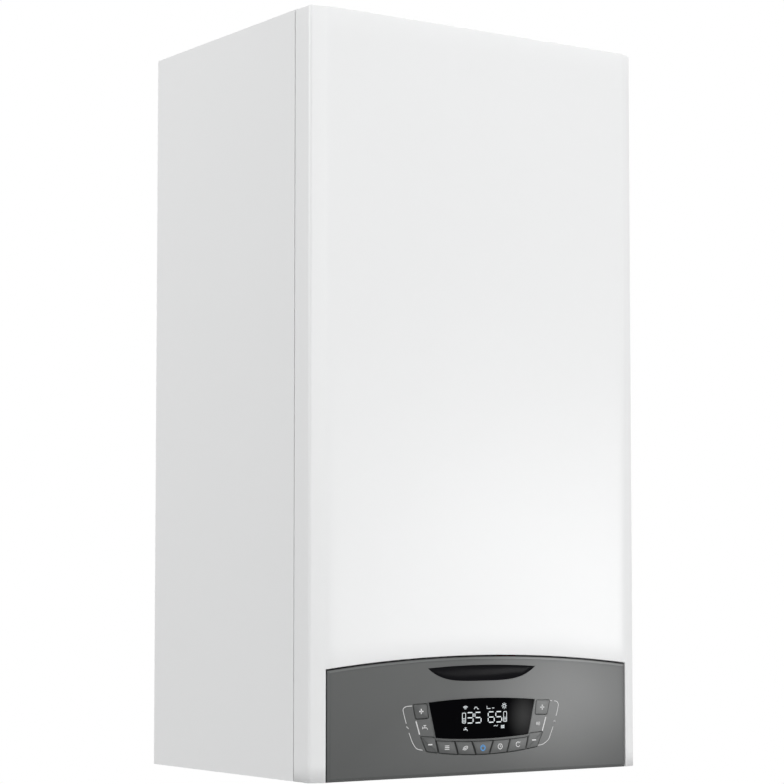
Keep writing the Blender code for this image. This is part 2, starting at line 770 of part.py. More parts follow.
def make_window_and_badge():
    """The display's glass with its lip behind the fascia, and the bare badge insert."""
    glass = prism("display_window", [display_outline()], "front",
                  (KEY_LIP_FRONT - KEY_LIP_T, CASE_D - DISPLAY_SINK), "dark_glass")
    fuse(glass, prism("window_lip", [grown(display_outline(), 2 * GAP)], "front",
                      (KEY_LIP_FRONT - KEY_LIP_T / 2, KEY_LIP_FRONT)))
    front = CASE_D + BADGE_PROUD
    prism("badge_insert", [badge_outline()], "front", (front - BADGE_T, front), "dark_glass")


def make_keys():
    """Key caps with a lip behind the fascia and a stem that ends above its switch."""
    for name, outline in key_outlines().items():
        lip_rear = KEY_LIP_FRONT - KEY_LIP_T
        key = prism(name, [outline], "front", (lip_rear + KEY_LIP_T / 2, CASE_D + KEY_PROUD),
                    "grey_fascia")
        lip = grown(outline, KEY_CLEAR + KEY_LIP)
        fuse(key, prism("key_lip", [lip], "front", (lip_rear, KEY_LIP_FRONT)))
        x = sum(p[0] for p in outline) / len(outline)
        h = sum(p[1] for p in outline) / len(outline)
        fuse(key, rod("key_stem", (x, STEM_REAR, h), "front", 2 * KEY_ROUND,
                      lip_rear + KEY_LIP_T / 2 - STEM_REAR, sides=10))


def make_control_box():
    """Tub for the electronics with its backing plate, board ledges and hinge ears."""
    low = BOX_LOW
    plate = arch_outline(-GAP, 0.0)
    box = prism("control_box", [[(x, max(h, SHEET)) for x, h in plate]], "front",
                (BOX_PLATE_REAR, BOX_PLATE_REAR + BOX_PLATE_T), "black_plastic")
    tub = slab("tub", (-BOX_HALF, BOX_HALF), (BOX_BACK, BOX_PLATE_REAR + BOX_PLATE_T / 2),
               (low, BOX_TOP))
    hollow = slab("tub_hollow", (BOX_WALL - BOX_HALF, BOX_HALF - BOX_WALL),
                  (BOX_BACK + BOX_WALL, CASE_D), (low + BOX_WALL, BOX_TOP - BOX_WALL))
    cut(fuse(box, tub), hollow)
    ledge = 3 * BOX_WALL
    for side in (-1, 1):
        fuse(box, slab("board_ledge", (side * (BOX_HALF - BOX_WALL / 2), side * (BOX_HALF - ledge)),
                       (BOARD_D - GAP - ledge, BOARD_D - GAP), (low + ledge, BOX_TOP - ledge)))
        fuse(box, slab("hinge_ear", (side * EAR_X, side * (EAR_X + EAR_T)),
                       (HINGE_D - 2.4 * HINGE_PIN_R, BOX_PLATE_REAR + BOX_PLATE_T / 2),
                       (SHEET, HINGE_H + 2.4 * HINGE_PIN_R)))
        cut(box, rod("ear_hole", (side * (EAR_X - SHEET), HINGE_D, HINGE_H),
                     "right" if side > 0 else "left", HINGE_PIN_R + GAP, EAR_T + 2 * SHEET, sides=16))
    for share in (0.2, 0.4, 0.6, 0.8):
        x = BOX_HALF * (2 * share - 1)
        fuse(box, slab("tub_rib", (x - SHEET, x + SHEET), (BOX_BACK - 2 * SHEET, BOX_BACK + SHEET),
                       (low + ledge, BOX_TOP - ledge)))


def make_circuit_board():
    """The board with its display module, relays, transformer and connectors."""
    inner = BOX_HALF - BOX_WALL - GAP
    edge = MODULE_INSET
    board = slab("circuit_board", (-inner, inner), (BOARD_D, BOARD_FRONT),
                 (BOX_LOW + BOX_WALL + GAP, BOX_TOP - BOX_WALL - GAP), "circuit_green")
    fuse(board, slab("display_module", (edge - DISPLAY_FOOT_HALF, DISPLAY_FOOT_HALF - edge),
                     (BOARD_FRONT - edge / 4, KEY_LIP_FRONT - KEY_LIP_T - GAP),
                     (DISPLAY_FOOT_H + edge, DISPLAY_TOP_H - edge)))
    room = BOARD_D - BOX_BACK - BOX_WALL
    tall = BOX_TOP - BOX_LOW
    for x, deep, height in BOARD_PARTS:
        fuse(board, slab("board_part", [inner * share for share in x], (BOARD_D - room * deep, BOARD_D + BOARD_T / 2),
                         [BOX_LOW + tall * share for share in height]))


def make_hinge_bracket(side, panel):
    """Bent bracket welded to a side panel, whose pin carries the control box."""
    web_d = SCREW_D + SCREW_HEAD_R + ARM_T
    foot_d = web_d - 0.045
    top = HINGE_H + 3 * HINGE_PIN_R
    web_low = LIP_LOW + ARM_T
    riser_top = web_low + 0.010
    riser_front = HINGE_D - HINGE_PIN_R
    nose = [(HINGE_D + ARM_REACH * math.sin(turn), HINGE_H - ARM_REACH * math.cos(turn))
            for turn in [math.pi / 8 * i for i in range(5)]]
    side_view = [(web_d + ARM_T / 2, nose[0][1])] + nose + [(nose[-1][0], top), (riser_front, top),
                 (riser_front, riser_top), (web_d + ARM_T / 2, riser_top)]
    arm_x = EAR_X + EAR_T + SHEET
    seat = SIDE - SHEET / 2
    wall = seat - ARM_T
    plan = [(arm_x + ARM_T / 2, web_d), (wall, web_d), (wall, foot_d), (seat, foot_d),
            (seat, web_d + ARM_T), (arm_x + ARM_T / 2, web_d + ARM_T)]
    arm = prism("hinge_arm", [side_view], "side", sorted((side * arm_x, side * (arm_x + ARM_T))))
    web = prism("hinge_web", [[(side * x, d) for x, d in plan]], "plan", (web_low, web_low + 0.036))
    pin = rod("hinge_pin", (side * (arm_x + ARM_T / 2), HINGE_D, HINGE_H),
              "left" if side > 0 else "right", HINGE_PIN_R, EAR_T + 3 * SHEET, sides=16)
    fuse(panel, web, arm, pin)


# Shared faces of the inner group: the mixer duct ends behind the cover, and the drum fits what is left
BOSS_FRONT = CASE_D - SHEET - DUCT_CLEAR - DUCT_R - DUCT_BEND - DUCT_FLANGE_T - GAP
DOOR_FRONT = BOSS_FRONT - DOOR_BOSS
DOOR_BACK = DOOR_FRONT - DOOR_T
DRUM_FRONT = DOOR_BACK - SEAL_T - 2 * GAP
DRUM_LENGTH = DRUM_FRONT - DRUM_BACK
FAN_X = INNER_HALF - FAN_INSET
DRUM_R = (FAN_X - FAN_R1 - FAN_GAP + INNER_HALF - DRUM_CLEAR) / 2 - DRUM_FLANGE
DRUM_X = DRUM_CLEAR + DRUM_FLANGE + DRUM_R - INNER_HALF
DRUM_H = CASE_H - FLUE_ROOM - DRUM_R
FAN_H = DRUM_H
PORT_X = DRUM_R - PORT_INSET
DRAIN_D = DRUM_FRONT - DRAIN_SET
BURNER_LENGTH = DRUM_LENGTH - BURNER_CLEAR
COIL_PITCH = (DRUM_LENGTH - DRUM_WALL - 2 * COIL_TUBE_R - COIL_CLEAR) / COIL_TURNS
VESSEL_R = INNER_HALF - VESSEL_CLEAR
VESSEL_H = CASE_H - VESSEL_DROP
CARRIER_LOW = DRUM_H - CARRIER_HALF
CARRIER_TOP = DRUM_H + CARRIER_HALF
BOLT_R = DRUM_R + DRUM_FLANGE / 2
PORT_H = DRUM_H - math.sqrt(DRUM_R ** 2 - PORT_X ** 2) - PORT_DROP
SPIGOT_TOP = DRUM_H + DRUM_R + 0.012
FACET = math.cos(math.pi / ROUND)
VESSEL_BACK = SHEET + GAP
NIPPLE_END = VESSEL_H - math.sqrt(VESSEL_R ** 2 - NIPPLE_X ** 2) - 0.010


def make_exchanger_drum():
    """Open-fronted drum with beads, bolting flange, flue spigot, water ports and drain."""
    inner = DRUM_R - DRUM_WALL
    top = DRUM_LENGTH
    profile = [(0, top), (DRUM_R + DRUM_FLANGE, top), (DRUM_R + DRUM_FLANGE, top - DRUM_WALL),
               (DRUM_R, top - DRUM_WALL)]
    for share in (0.66, 0.33):
        middle = DRUM_LENGTH * share
        profile += [(DRUM_R, middle + 3 * DRUM_BEAD), (DRUM_R - DRUM_BEAD, middle),
                    (DRUM_R, middle - 3 * DRUM_BEAD)]
    profile += [(DRUM_R, DRUM_BEAD), (DRUM_R - DRUM_BEAD, 0), (0, 0)]
    drum = turned("exchanger_drum", profile, (DRUM_X, DRUM_BACK, DRUM_H), "front", "stainless")
    spigot_low = DRUM_H + DRUM_R - 0.020
    fuse(drum, rod("flue_spigot", (FLUE_X, FLUE_D, spigot_low), "up", FLUE_R + FLUE_WALL,
                   SPIGOT_TOP - spigot_low, sides=ROUND))
    inner_floor = DRUM_H - inner * FACET
    for x, depth, radius, end in ((DRUM_X - PORT_X, PORT_D, PORT_R, PORT_H),
                                  (DRUM_X + PORT_X, PORT_D, PORT_R, PORT_H),
                                  (DRUM_X, DRAIN_D, DRAIN_R, inner_floor - PORT_DROP)):
        edge = DRUM_H - math.sqrt(DRUM_R ** 2 - (x - DRUM_X) ** 2) * FACET
        port = rod("port", (x, depth, end), "up", radius, edge - end + DRUM_WALL, sides=12)
        fuse(drum, port)
    cut(drum, rod("drum_hollow", (DRUM_X, DRUM_BACK + DRUM_WALL, DRUM_H), "front", inner,
                  DRUM_LENGTH, sides=ROUND))
    cut(drum, rod("flue_bore", (FLUE_X, FLUE_D, spigot_low - 0.020), "up", FLUE_R - FLUE_WALL,
                  SPIGOT_TOP - spigot_low + 0.040, sides=ROUND))


def make_exchanger_coil():
    """The water coil: one unbroken helix against the drum's inner wall."""
    coil_r = (DRUM_R - DRUM_WALL) * FACET - GAP - COIL_TUBE_R
    first = DRUM_BACK + DRUM_WALL + COIL_TUBE_R + GAP
    count = COIL_TURNS * COIL_STEPS
    points = []
    for i in range(count + 1):
        turn = 2 * math.pi * i / COIL_STEPS
        depth = first + COIL_PITCH * i / COIL_STEPS
        points.append(place(DRUM_X + coil_r * math.cos(turn), depth, DRUM_H + coil_r * math.sin(turn)))
    gaps = [(points[i + COIL_STEPS] - points[i]).length for i in range(count - COIL_STEPS)]
    print("coil: least gap between turns", round(min(gaps) - 2 * COIL_TUBE_R, 4))
    pipe_along("exchanger_coil", points, COIL_TUBE_R, "stainless", 1)


def make_burner():
    """Door with ribs, nuts and central boss, its seal, the burner tube and the twin electrode."""
    rim = DRUM_R + DRUM_FLANGE
    bore = DUCT_R
    profile = [(bore, DOOR_T + DOOR_BOSS), (DUCT_FLANGE_R + 0.004, DOOR_T + DOOR_BOSS),
               (DUCT_FLANGE_R + 0.010, DOOR_T + 0.003), (DRUM_R - 0.018, DOOR_T + 0.003),
               (DRUM_R - 0.010, DOOR_T), (rim, DOOR_T), (rim, 0), (bore, 0)]
    door = turned("burner_door", profile, (DRUM_X, DOOR_BACK, DRUM_H), "front", "cast_aluminium",
                  closed=True)
    ribs = bmesh.new()
    for i in range(DOOR_NUTS):
        made = bmesh.ops.create_cube(ribs, size=1.0)["verts"]
        reach = DRUM_R - 0.012 - DUCT_FLANGE_R
        bmesh.ops.scale(ribs, vec=(reach, 0.004, DOOR_T + 0.004), verts=made)
        bmesh.ops.translate(ribs, vec=(DUCT_FLANGE_R + reach / 2, 0, (DOOR_T + 0.004) / 2 + 0.003), verts=made)
        spin = Matrix.Rotation(2 * math.pi * i / DOOR_NUTS, 3, "Z")
        bmesh.ops.rotate(ribs, matrix=spin, verts=made)
    fuse(door, from_bmesh("door_ribs", ribs, None, place(DRUM_X, DOOR_BACK, DRUM_H), "front"))

    seal_rim = [(DRUM_R, SEAL_T), (DRUM_R, 0), (DRUM_R - DRUM_WALL, 0), (DRUM_R - DRUM_WALL, SEAL_T)]
    turned("door_seal", seal_rim, (DRUM_X, DRUM_FRONT + GAP, DRUM_H), "front", "rubber", closed=True)

    for i in range(DOOR_NUTS):
        turn = 2 * math.pi * i / DOOR_NUTS
        x = DRUM_X + BOLT_R * math.cos(turn)
        h = DRUM_H + BOLT_R * math.sin(turn)
        fuse(door, rod("door_nut", (x, DOOR_FRONT - GAP, h), "front", NUT_R, NUT_T, sides=6,
                       end_radius=NUT_R * 0.8))

    inner = BURNER_R - BURNER_WALL
    end = BURNER_LENGTH - BURNER_WALL
    tube = [(0, BURNER_LENGTH), (BURNER_R * 0.8, BURNER_LENGTH), (BURNER_R, BURNER_LENGTH * 0.93),
            (BURNER_R, 0.006), (BURNER_R + 0.006, 0.006), (BURNER_R + 0.006, 0), (inner, 0),
            (inner, BURNER_LENGTH * 0.93 - BURNER_WALL / 2), (BURNER_R * 0.8 - BURNER_WALL / 2, end), (0, end)]
    turned("burner_tube", tube, (DRUM_X, DOOR_BACK - GAP, DRUM_H), "back", "stainless", steps=24)

    seat = DOOR_FRONT + 0.003 + GAP
    middle_h = DRUM_H + 0.068
    pitch = 0.018
    plate = rounded(rectangle((DRUM_X - 1.1 * pitch, DRUM_X + 1.1 * pitch), (middle_h - 0.010, middle_h + 0.010)),
                    0.004)
    electrode = prism("electrode", [plate], "front", (seat, seat + 0.003), "ceramic")
    for side in (-1, 1):
        shape = [(0, 0.030), (0.0025, 0.030), (0.0025, 0.022), (0.0055, 0.020), (0.0055, 0.001), (0, 0.001)]
        fuse(electrode, turned("electrode_stem", shape, (DRUM_X + side * pitch * 0.6, seat, middle_h), "front",
                               steps=10))


def make_carrier_and_vessel():
    """Cross plate that carries the drum, and the flat expansion vessel behind it."""
    panel = rectangle((-INNER_HALF, INNER_HALF), (CARRIER_LOW, CARRIER_TOP))
    outer_x = INNER_HALF - SLOT_INSET
    slots = [rounded(rectangle((x - SLOT_HALF_W, x + SLOT_HALF_W), (h - SLOT_HALF_H, h + SLOT_HALF_H)),
                     0.4 * SLOT_HALF_W)
             for x in (outer_x - SLOT_PITCH, outer_x)
             for h in (CARRIER_LOW + SLOT_DROP, CARRIER_TOP - SLOT_DROP)]
    back = DRUM_BACK - GAP - CARRIER_T
    carrier = prism("exchanger_support_plate", [panel] + slots, "front", (back, back + CARRIER_T),
                    "zinc_sheet")
    for side in (-1, 1):
        fuse(carrier, slab("carrier_flange", (side * (INNER_HALF - CARRIER_T), side * INNER_HALF),
                           (back + CARRIER_T / 2, back + CARRIER_FLANGE),
                           (CARRIER_LOW + CARRIER_TRIM, CARRIER_TOP - CARRIER_TRIM)))
    seam = VESSEL_T / 2
    dome = VESSEL_R - 0.006
    profile = [(0, VESSEL_T), (dome * 0.55, VESSEL_T - 0.002), (dome * 0.85, VESSEL_T - 0.012),
               (dome, seam + 0.012), (dome, seam + VESSEL_SEAM / 2), (VESSEL_R, seam + VESSEL_SEAM / 2),
               (VESSEL_R, seam - VESSEL_SEAM / 2), (dome, seam - VESSEL_SEAM / 2),
               (dome, 0.018), (dome * 0.9, 0.002), (dome * 0.75, 0), (0, 0)]
    vessel = turned("expansion_vessel", profile, (0, VESSEL_BACK, VESSEL_H), "front", "red_lacquer")
    nipple_d = VESSEL_BACK + seam
    fuse(vessel, rod("nipple", (NIPPLE_X, nipple_d, NIPPLE_END), "up", NIPPLE_R * 1.3, 0.030, sides=12))
    wall = VESSEL_WALL
    hollow = [(0, VESSEL_T - wall), (dome * 0.55, VESSEL_T - 0.002 - wall),
              (dome * 0.85 - wall / 2, VESSEL_T - 0.012 - wall), (dome - wall, seam + 0.012), (dome - wall, 0.018),
              (dome * 0.9 - wall, 0.002 + wall), (dome * 0.75, wall), (0, wall)]
    cut(vessel, turned("vessel_hollow", hollow, (0, VESSEL_BACK, VESSEL_H), "front"))
    cut(vessel, rod("nipple_bore", (NIPPLE_X, nipple_d, NIPPLE_END - SHEET), "up", NIPPLE_R * 0.6, 0.040, sides=8))


def make_flue():
    """Flue pipe through the top, the collar round it, and the cap on the twin-pipe air inlet."""
    path = [(FLUE_X, FLUE_D, SPIGOT_TOP + GAP), (FLUE_X, FLUE_D, SPIGOT_TOP + 0.020),
            (0, FLUE_D, CASE_H - 0.018), (0, FLUE_D, CASE_H + COLLAR_H - 0.002)]
    duct = pipe("flue_duct", path, FLUE_R, FLUE_BEND, "black_plastic", 3, 3)
    bore = [(x, d, h - 0.004 if i == 0 else h + 0.004 if i == 3 else h)
            for i, (x, d, h) in enumerate(path)]
    fuse(duct, rod("duct_foot", path[0], "up", FLUE_R + 2 * FLUE_WALL, FLUE_WALL, sides=ROUND))
    cut(duct, pipe("flue_duct_bore", bore, FLUE_R - FLUE_WALL, FLUE_BEND, None, 3, 3))

    flange = [(COLLAR_R, COLLAR_H), (COLLAR_R, FLUE_WALL), (COLLAR_FLANGE, FLUE_WALL),
              (COLLAR_FLANGE, 0), (COLLAR_R - COLLAR_WALL, 0), (COLLAR_R - COLLAR_WALL, COLLAR_H)]
    collar = turned("flue_collar", flange, (0, FLUE_D, CASE_H + GAP), "up", "black_plastic", closed=True)
    webs = bmesh.new()
    inside = FLUE_R + GAP
    for i in range(3):
        made = bmesh.ops.create_cube(webs, size=1.0)["verts"]
        reach = COLLAR_R - COLLAR_WALL / 2 - inside
        bmesh.ops.scale(webs, vec=(reach, FLUE_WALL, 3 * FLUE_WALL), verts=made)
        bmesh.ops.translate(webs, vec=(inside + reach / 2, 0, 2 * FLUE_WALL), verts=made)
        spin = Matrix.Rotation(math.radians(90 + 120 * i), 3, "Z")
        bmesh.ops.rotate(webs, matrix=spin, verts=made)
    fuse(collar, from_bmesh("collar_webs", webs, None, place(0, FLUE_D, CASE_H + GAP), "up"))
    middle = (COLLAR_R + COLLAR_FLANGE) / 2
    for turn in (35, 145):
        x = middle * math.cos(math.radians(turn))
        depth = FLUE_D + middle * math.sin(math.radians(turn))
        fuse(collar, rod("sampling_cap", (x, depth, CASE_H + FLUE_WALL / 2), "up", 0.0062, 0.009, sides=12))

    plug_r = INTAKE_R * FACET - GAP
    rim_r = INTAKE_R + INTAKE_RIM
    rim = [(0, INTAKE_CAP), (INTAKE_R * 0.8, INTAKE_CAP), (INTAKE_R + INTAKE_RIM / 3, INTAKE_RIM_T), (rim_r, INTAKE_RIM_T),
           (rim_r, 0), (plug_r, 0), (plug_r, -INTAKE_RIM), (0, -INTAKE_RIM)]
    turned("air_intake_cover", rim, (INTAKE_X, FLUE_D, CASE_H + GAP), "up", "black_plastic")


# The gas train stands in one column under the fan
MOUTH_X = FAN_X - FAN_R1 + FAN_MOUTH_W / 2
MOUTH_H = FAN_H + FAN_BODY_H / 2
VENTURI_FOOT = FAN_H - GAP - VENTURI_H
VALVE_TOP = VENTURI_FOOT - GAP
VALVE_FOOT = VALVE_TOP - VALVE_BODY_H - 2 * VALVE_BOSS
SILENCER_X = FAN_X + VENTURI_R + SILENCER_GAP


def scroll_outline(inset, mouth):
    """Plan of the fan's spiral: the radius grows evenly from the tongue to the straight mouth."""
    inner_wall = FAN_X - FAN_R1 + FAN_MOUTH_W
    tongue = math.acos((inner_wall - FAN_X) / FAN_R0)
    span = tongue + math.pi
    steps = 20
    points = []
    for i in range(steps + 1):
        turn = tongue - span * i / steps
        radius = FAN_R0 + (FAN_R1 - FAN_R0) * i / steps - inset
        points.append((FAN_X + radius * math.cos(turn), FAN_D + radius * math.sin(turn)))
    points[0] = (inner_wall - inset, points[0][1])
    points.append((FAN_X - FAN_R1 + inset, mouth))
    points.append((inner_wall - inset, mouth))
    return points


def bladed_wheel(name, start, turn, radius, eye, tall, blades, sweep, look):
    """A closed fan or pump wheel: back disc, swept blades and a front ring, on its shaft."""
    disc = 0.0015
    wheel = rod(name, start, turn, radius, disc, look, sides=20)
    fuse(wheel, turned("wheel_hub", [(0, tall * 0.75), (2 * SHAFT_R, disc), (2 * SHAFT_R, disc / 2),
                                     (0, disc / 2)], start, turn, steps=12), solver="MANIFOLD")
    ring = [(radius, tall), (radius, tall - disc), (eye, tall - disc), (eye, tall)]
    fuse(wheel, turned("wheel_ring", ring, start, turn, steps=20, closed=True), solver="MANIFOLD")
    blade_set = bmesh.new()
    inner = eye + disc
    bends = 2
    for i in range(blades):
        made = bmesh.ops.create_grid(blade_set, x_segments=bends, y_segments=1, size=0.5)["verts"]
        for vert in made:
            share = vert.co.x + 0.5
            reach = inner + (radius - disc - inner) * share
            angle = sweep * share ** 1.5 + 2 * math.pi * i / blades
            height = disc / 2 + (tall - disc) * (vert.co.y + 0.5)
            vert.co = (reach * math.cos(angle), reach * math.sin(angle), height)
    bmesh.ops.solidify(blade_set, geom=blade_set.faces[:], thickness=disc * 0.7)
    bmesh.ops.recalc_face_normals(blade_set, faces=blade_set.faces)
    blades_piece = from_bmesh("wheel_blades", blade_set, None, place(*start), turn)
    return fuse(wheel, blades_piece, solver="MANIFOLD")


def make_fan():
    """Scroll housing with its eye below, the wheel inside and the motor on top."""
    top = FAN_H + FAN_BODY_H
    scroll = prism("fan_housing", [scroll_outline(0, BOSS_FRONT)], "plan", (FAN_H, top),
                   "cast_aluminium")
    fuse(scroll, rod("mouth_flange", (MOUTH_X, BOSS_FRONT - DUCT_FLANGE_T, MOUTH_H), "front",
                     DUCT_FLANGE_R, DUCT_FLANGE_T, sides=16))
    cut(scroll, prism("scroll_hollow", [scroll_outline(FAN_WALL, BOSS_FRONT - 2 * DUCT_FLANGE_T)],
                      "plan", (FAN_H + FAN_WALL, top - FAN_WALL)))
    cut(scroll, rod("mouth_bore", (MOUTH_X, BOSS_FRONT - 3 * DUCT_FLANGE_T, MOUTH_H), "front",
                    DUCT_R - FAN_WALL, 4 * DUCT_FLANGE_T, sides=14))
    cut(scroll, rod("fan_eye", (FAN_X, FAN_D, FAN_H - FAN_WALL), "up", FAN_EYE_R, 3 * FAN_WALL, sides=14))
    cut(scroll, rod("shaft_hole", (FAN_X, FAN_D, top - 2 * FAN_WALL), "up", SHAFT_R + GAP, 3 * FAN_WALL,
                    sides=16))
    wheel_top = top - FAN_WALL - WHEEL_LIFT / 3
    wheel = bladed_wheel("fan_impeller", (FAN_X, FAN_D, wheel_top), "down", WHEEL_R, FAN_EYE_R,
                         FAN_BODY_H - 2 * FAN_WALL - WHEEL_LIFT, WHEEL_BLADES, 0.55, "cast_aluminium")
    shaft_end = top + GAP + MOTOR_H / 2
    fuse(wheel, rod("fan_shaft", (FAN_X, FAN_D, wheel_top - SHAFT_R), "up", SHAFT_R,
                    shaft_end - wheel_top + SHAFT_R, sides=12), solver="MANIFOLD")
    can = [(0, MOTOR_H), (MOTOR_R * 0.7, MOTOR_H), (MOTOR_R, MOTOR_H - 0.008), (MOTOR_R, 0.006),
           (MOTOR_R * 0.6, 0.004), (MOTOR_R * 0.6, 0), (0, 0)]
    motor = turned("fan_motor", can, (FAN_X, FAN_D, top + GAP), "up", "black_plastic", steps=20)
    fuse(motor, slab("motor_plug", (FAN_X - 0.012, FAN_X + 0.012), (FAN_D + MOTOR_R * 0.6, FAN_D + MOTOR_R + 0.010),
                     (top + 0.014, top + 0.030)))
    cut(motor, rod("motor_bore", (FAN_X, FAN_D, top - GAP), "up", SHAFT_R + SHAFT_CLEAR,
                   MOTOR_H / 2 + 3 * GAP, sides=12))


def make_mixer_duct():
    """Elbowed duct that carries the gas and air from the fan's mouth to the burner door."""
    start = BOSS_FRONT + GAP
    deep = start + DUCT_BEND + DUCT_FLANGE_T
    ends = ((DRUM_X, DRUM_H), (MOUTH_X, MOUTH_H))
    inside = start + DUCT_FLANGE_T / 4
    corners = [(ends[0][0], inside, ends[0][1]), (ends[0][0], deep, ends[0][1]),
               (ends[1][0], deep, ends[1][1]), (ends[1][0], inside, ends[1][1])]
    duct = pipe("mixer_duct", corners, DUCT_R, DUCT_BEND, "cast_aluminium", 3, 4)
    for x, h in ends:
        fuse(duct, rod("duct_flange", (x, start, h), "front", DUCT_FLANGE_R, DUCT_FLANGE_T, sides=16))


def make_gas_train():
    """Venturi mixer, intake silencer at its side and the gas valve below it."""
    foot = VENTURI_FOOT
    shape = [(VENTURI_R, VENTURI_H), (VENTURI_R, VENTURI_H - 0.006), (VENTURI_R - 0.005, VENTURI_H - 0.009),
             (VENTURI_R - 0.008, VENTURI_H * 0.55), (VENTURI_R - 0.003, VENTURI_H * 0.35),
             (VENTURI_R - 0.003, 0.004), (VENTURI_R - 0.010, 0), (0.010, 0), (0.010, VENTURI_H * 0.5),
             (FAN_EYE_R - 0.001, VENTURI_H)]
    mixer = turned("venturi_mixer", shape, (FAN_X, FAN_D, foot), "up", "cast_aluminium", steps=16,
                   closed=True)
    air_h = foot + VENTURI_H * 0.4
    fuse(mixer, rod("air_branch", (FAN_X + VENTURI_R * 0.6, FAN_D, air_h), "right", AIR_BRANCH_R,
                    SILENCER_X - GAP - FAN_X - VENTURI_R * 0.6, sides=16))
    plan = rounded(rectangle((SILENCER_X, INNER_HALF - SILENCER_CLEAR), (FAN_D - SILENCER_BACK, FAN_D + SILENCER_FRONT)),
                   0.008)
    prism("air_silencer", [plan], "plan", (foot - SILENCER_DROP, FAN_H - SILENCER_TRIM), "black_plastic")

    body_low = VALVE_FOOT + VALVE_BOSS
    body_top = VALVE_TOP - VALVE_BOSS
    half = VALVE_W / 2
    body = rounded(rectangle((FAN_X - half, FAN_X + half), (FAN_D - VALVE_DEEP / 2, FAN_D + VALVE_DEEP / 2)),
                   0.006, 2)
    valve = prism("gas_valve", [body], "plan", (body_low, body_top), "cast_aluminium")
    fuse(valve, rod("valve_inlet", (FAN_X, FAN_D, VALVE_FOOT), "up", 0.015, 2 * VALVE_BOSS, sides=16))
    fuse(valve, rod("valve_outlet", (FAN_X, FAN_D, body_top - VALVE_BOSS), "up", 0.014, 2 * VALVE_BOSS,
                    sides=16))
    for share in (-0.5, 0.5):
        fuse(valve, rod("valve_coil", (FAN_X + half * share, FAN_D + VALVE_DEEP / 2 - 0.004,
                                       (body_low + body_top) / 2), "front", half * 0.42, 0.030, sides=16))
    fuse(valve, rod("valve_regulator", (FAN_X - half + 0.004, FAN_D, (body_low + body_top) / 2), "left",
                    0.014, 0.012, sides=16))


# Levels where the hydraulic pieces meet
BLOCK_SEAT = BLOCK_FRONT + PLATE_BOSS
VOLUTE_TOP = PUMP_H + VOLUTE_R
VENT_SEAT = PUMP_H + math.sqrt(VOLUTE_R ** 2 - (VENT_X - PUMP_X) ** 2) + 0.010
RISER_X = PUMP_X - VOLUTE_R + 0.016
RISER_D = (VOLUTE_BACK + BLOCK_FRONT) / 2
RISER_SEAT = VOLUTE_TOP + 0.006
SIPHON_FOOT = 0.010
SIPHON_TOP = PLATE_TOP + SIPHON_TALL


def make_water_connections():
    """Pipe ends under the casing: heating flow and return, hot and cold water, and gas."""
    tall = BLOCK_LOW - GAP - STUB_END
    names = ("heating_flow_end", "hot_water_end", "gas_connection", "cold_water_end",
             "heating_return_end")
    for name, x, radius in zip(names, STUB_XS, STUB_RS):
        bore = radius - STUB_WALL
        neck = radius - STUB_WALL / 3
        thread_top = PLATE_H - STUB_END - 0.010
        shape = [(0, tall), (radius, tall), (radius, thread_top + 0.003), (neck, thread_top),
                 (radius, thread_top - 0.003), (radius, 0.001), (neck, 0), (bore, 0),
                 (bore, tall / 2), (0, tall / 2)]
        stub = turned(name, shape, (x, STUB_D, STUB_END), "up", "brass", steps=12)
        fuse(stub, rod("stub_hex", (x, STUB_D, PLATE_TOP), "up", max(HEX_R, radius * 1.35), HEX_T, sides=6))


def make_flow_block():
    """Left hydraulic block, moulded round the flow and hot-water ways, with bosses and ribs."""
    low_x, high_x = FLOW_BLOCK_X
    side_view = rounded([(BLOCK_BACK, BLOCK_LOW), (BLOCK_FRONT, BLOCK_LOW), (BLOCK_FRONT, FLOW_BLOCK_TOP - 0.012),
                         (BLOCK_FRONT - 0.012, FLOW_BLOCK_TOP), (BLOCK_BACK + 0.012, FLOW_BLOCK_TOP),
                         (BLOCK_BACK, FLOW_BLOCK_TOP - 0.012)], 0.004, 1)
    block = prism("flow_manifold", [side_view], "side", (low_x, high_x), "black_plastic")
    for x in (low_x + 0.035, low_x + 0.085):
        cut(block, slab("block_rib_gap", (x - 0.008, x + 0.008), (BLOCK_FRONT - 0.014, BLOCK_FRONT + SHEET),
                        (BLOCK_LOW - SHEET, PLATES_H[0] - 0.004)))
    middle = (PLATES_H[0] + PLATES_H[1]) / 2
    fuse(block, rod("plate_boss", (PLATES_X[0] + 0.022, BLOCK_FRONT - PLATE_BOSS, middle), "front", 0.012,
                    2 * PLATE_BOSS, sides=10))


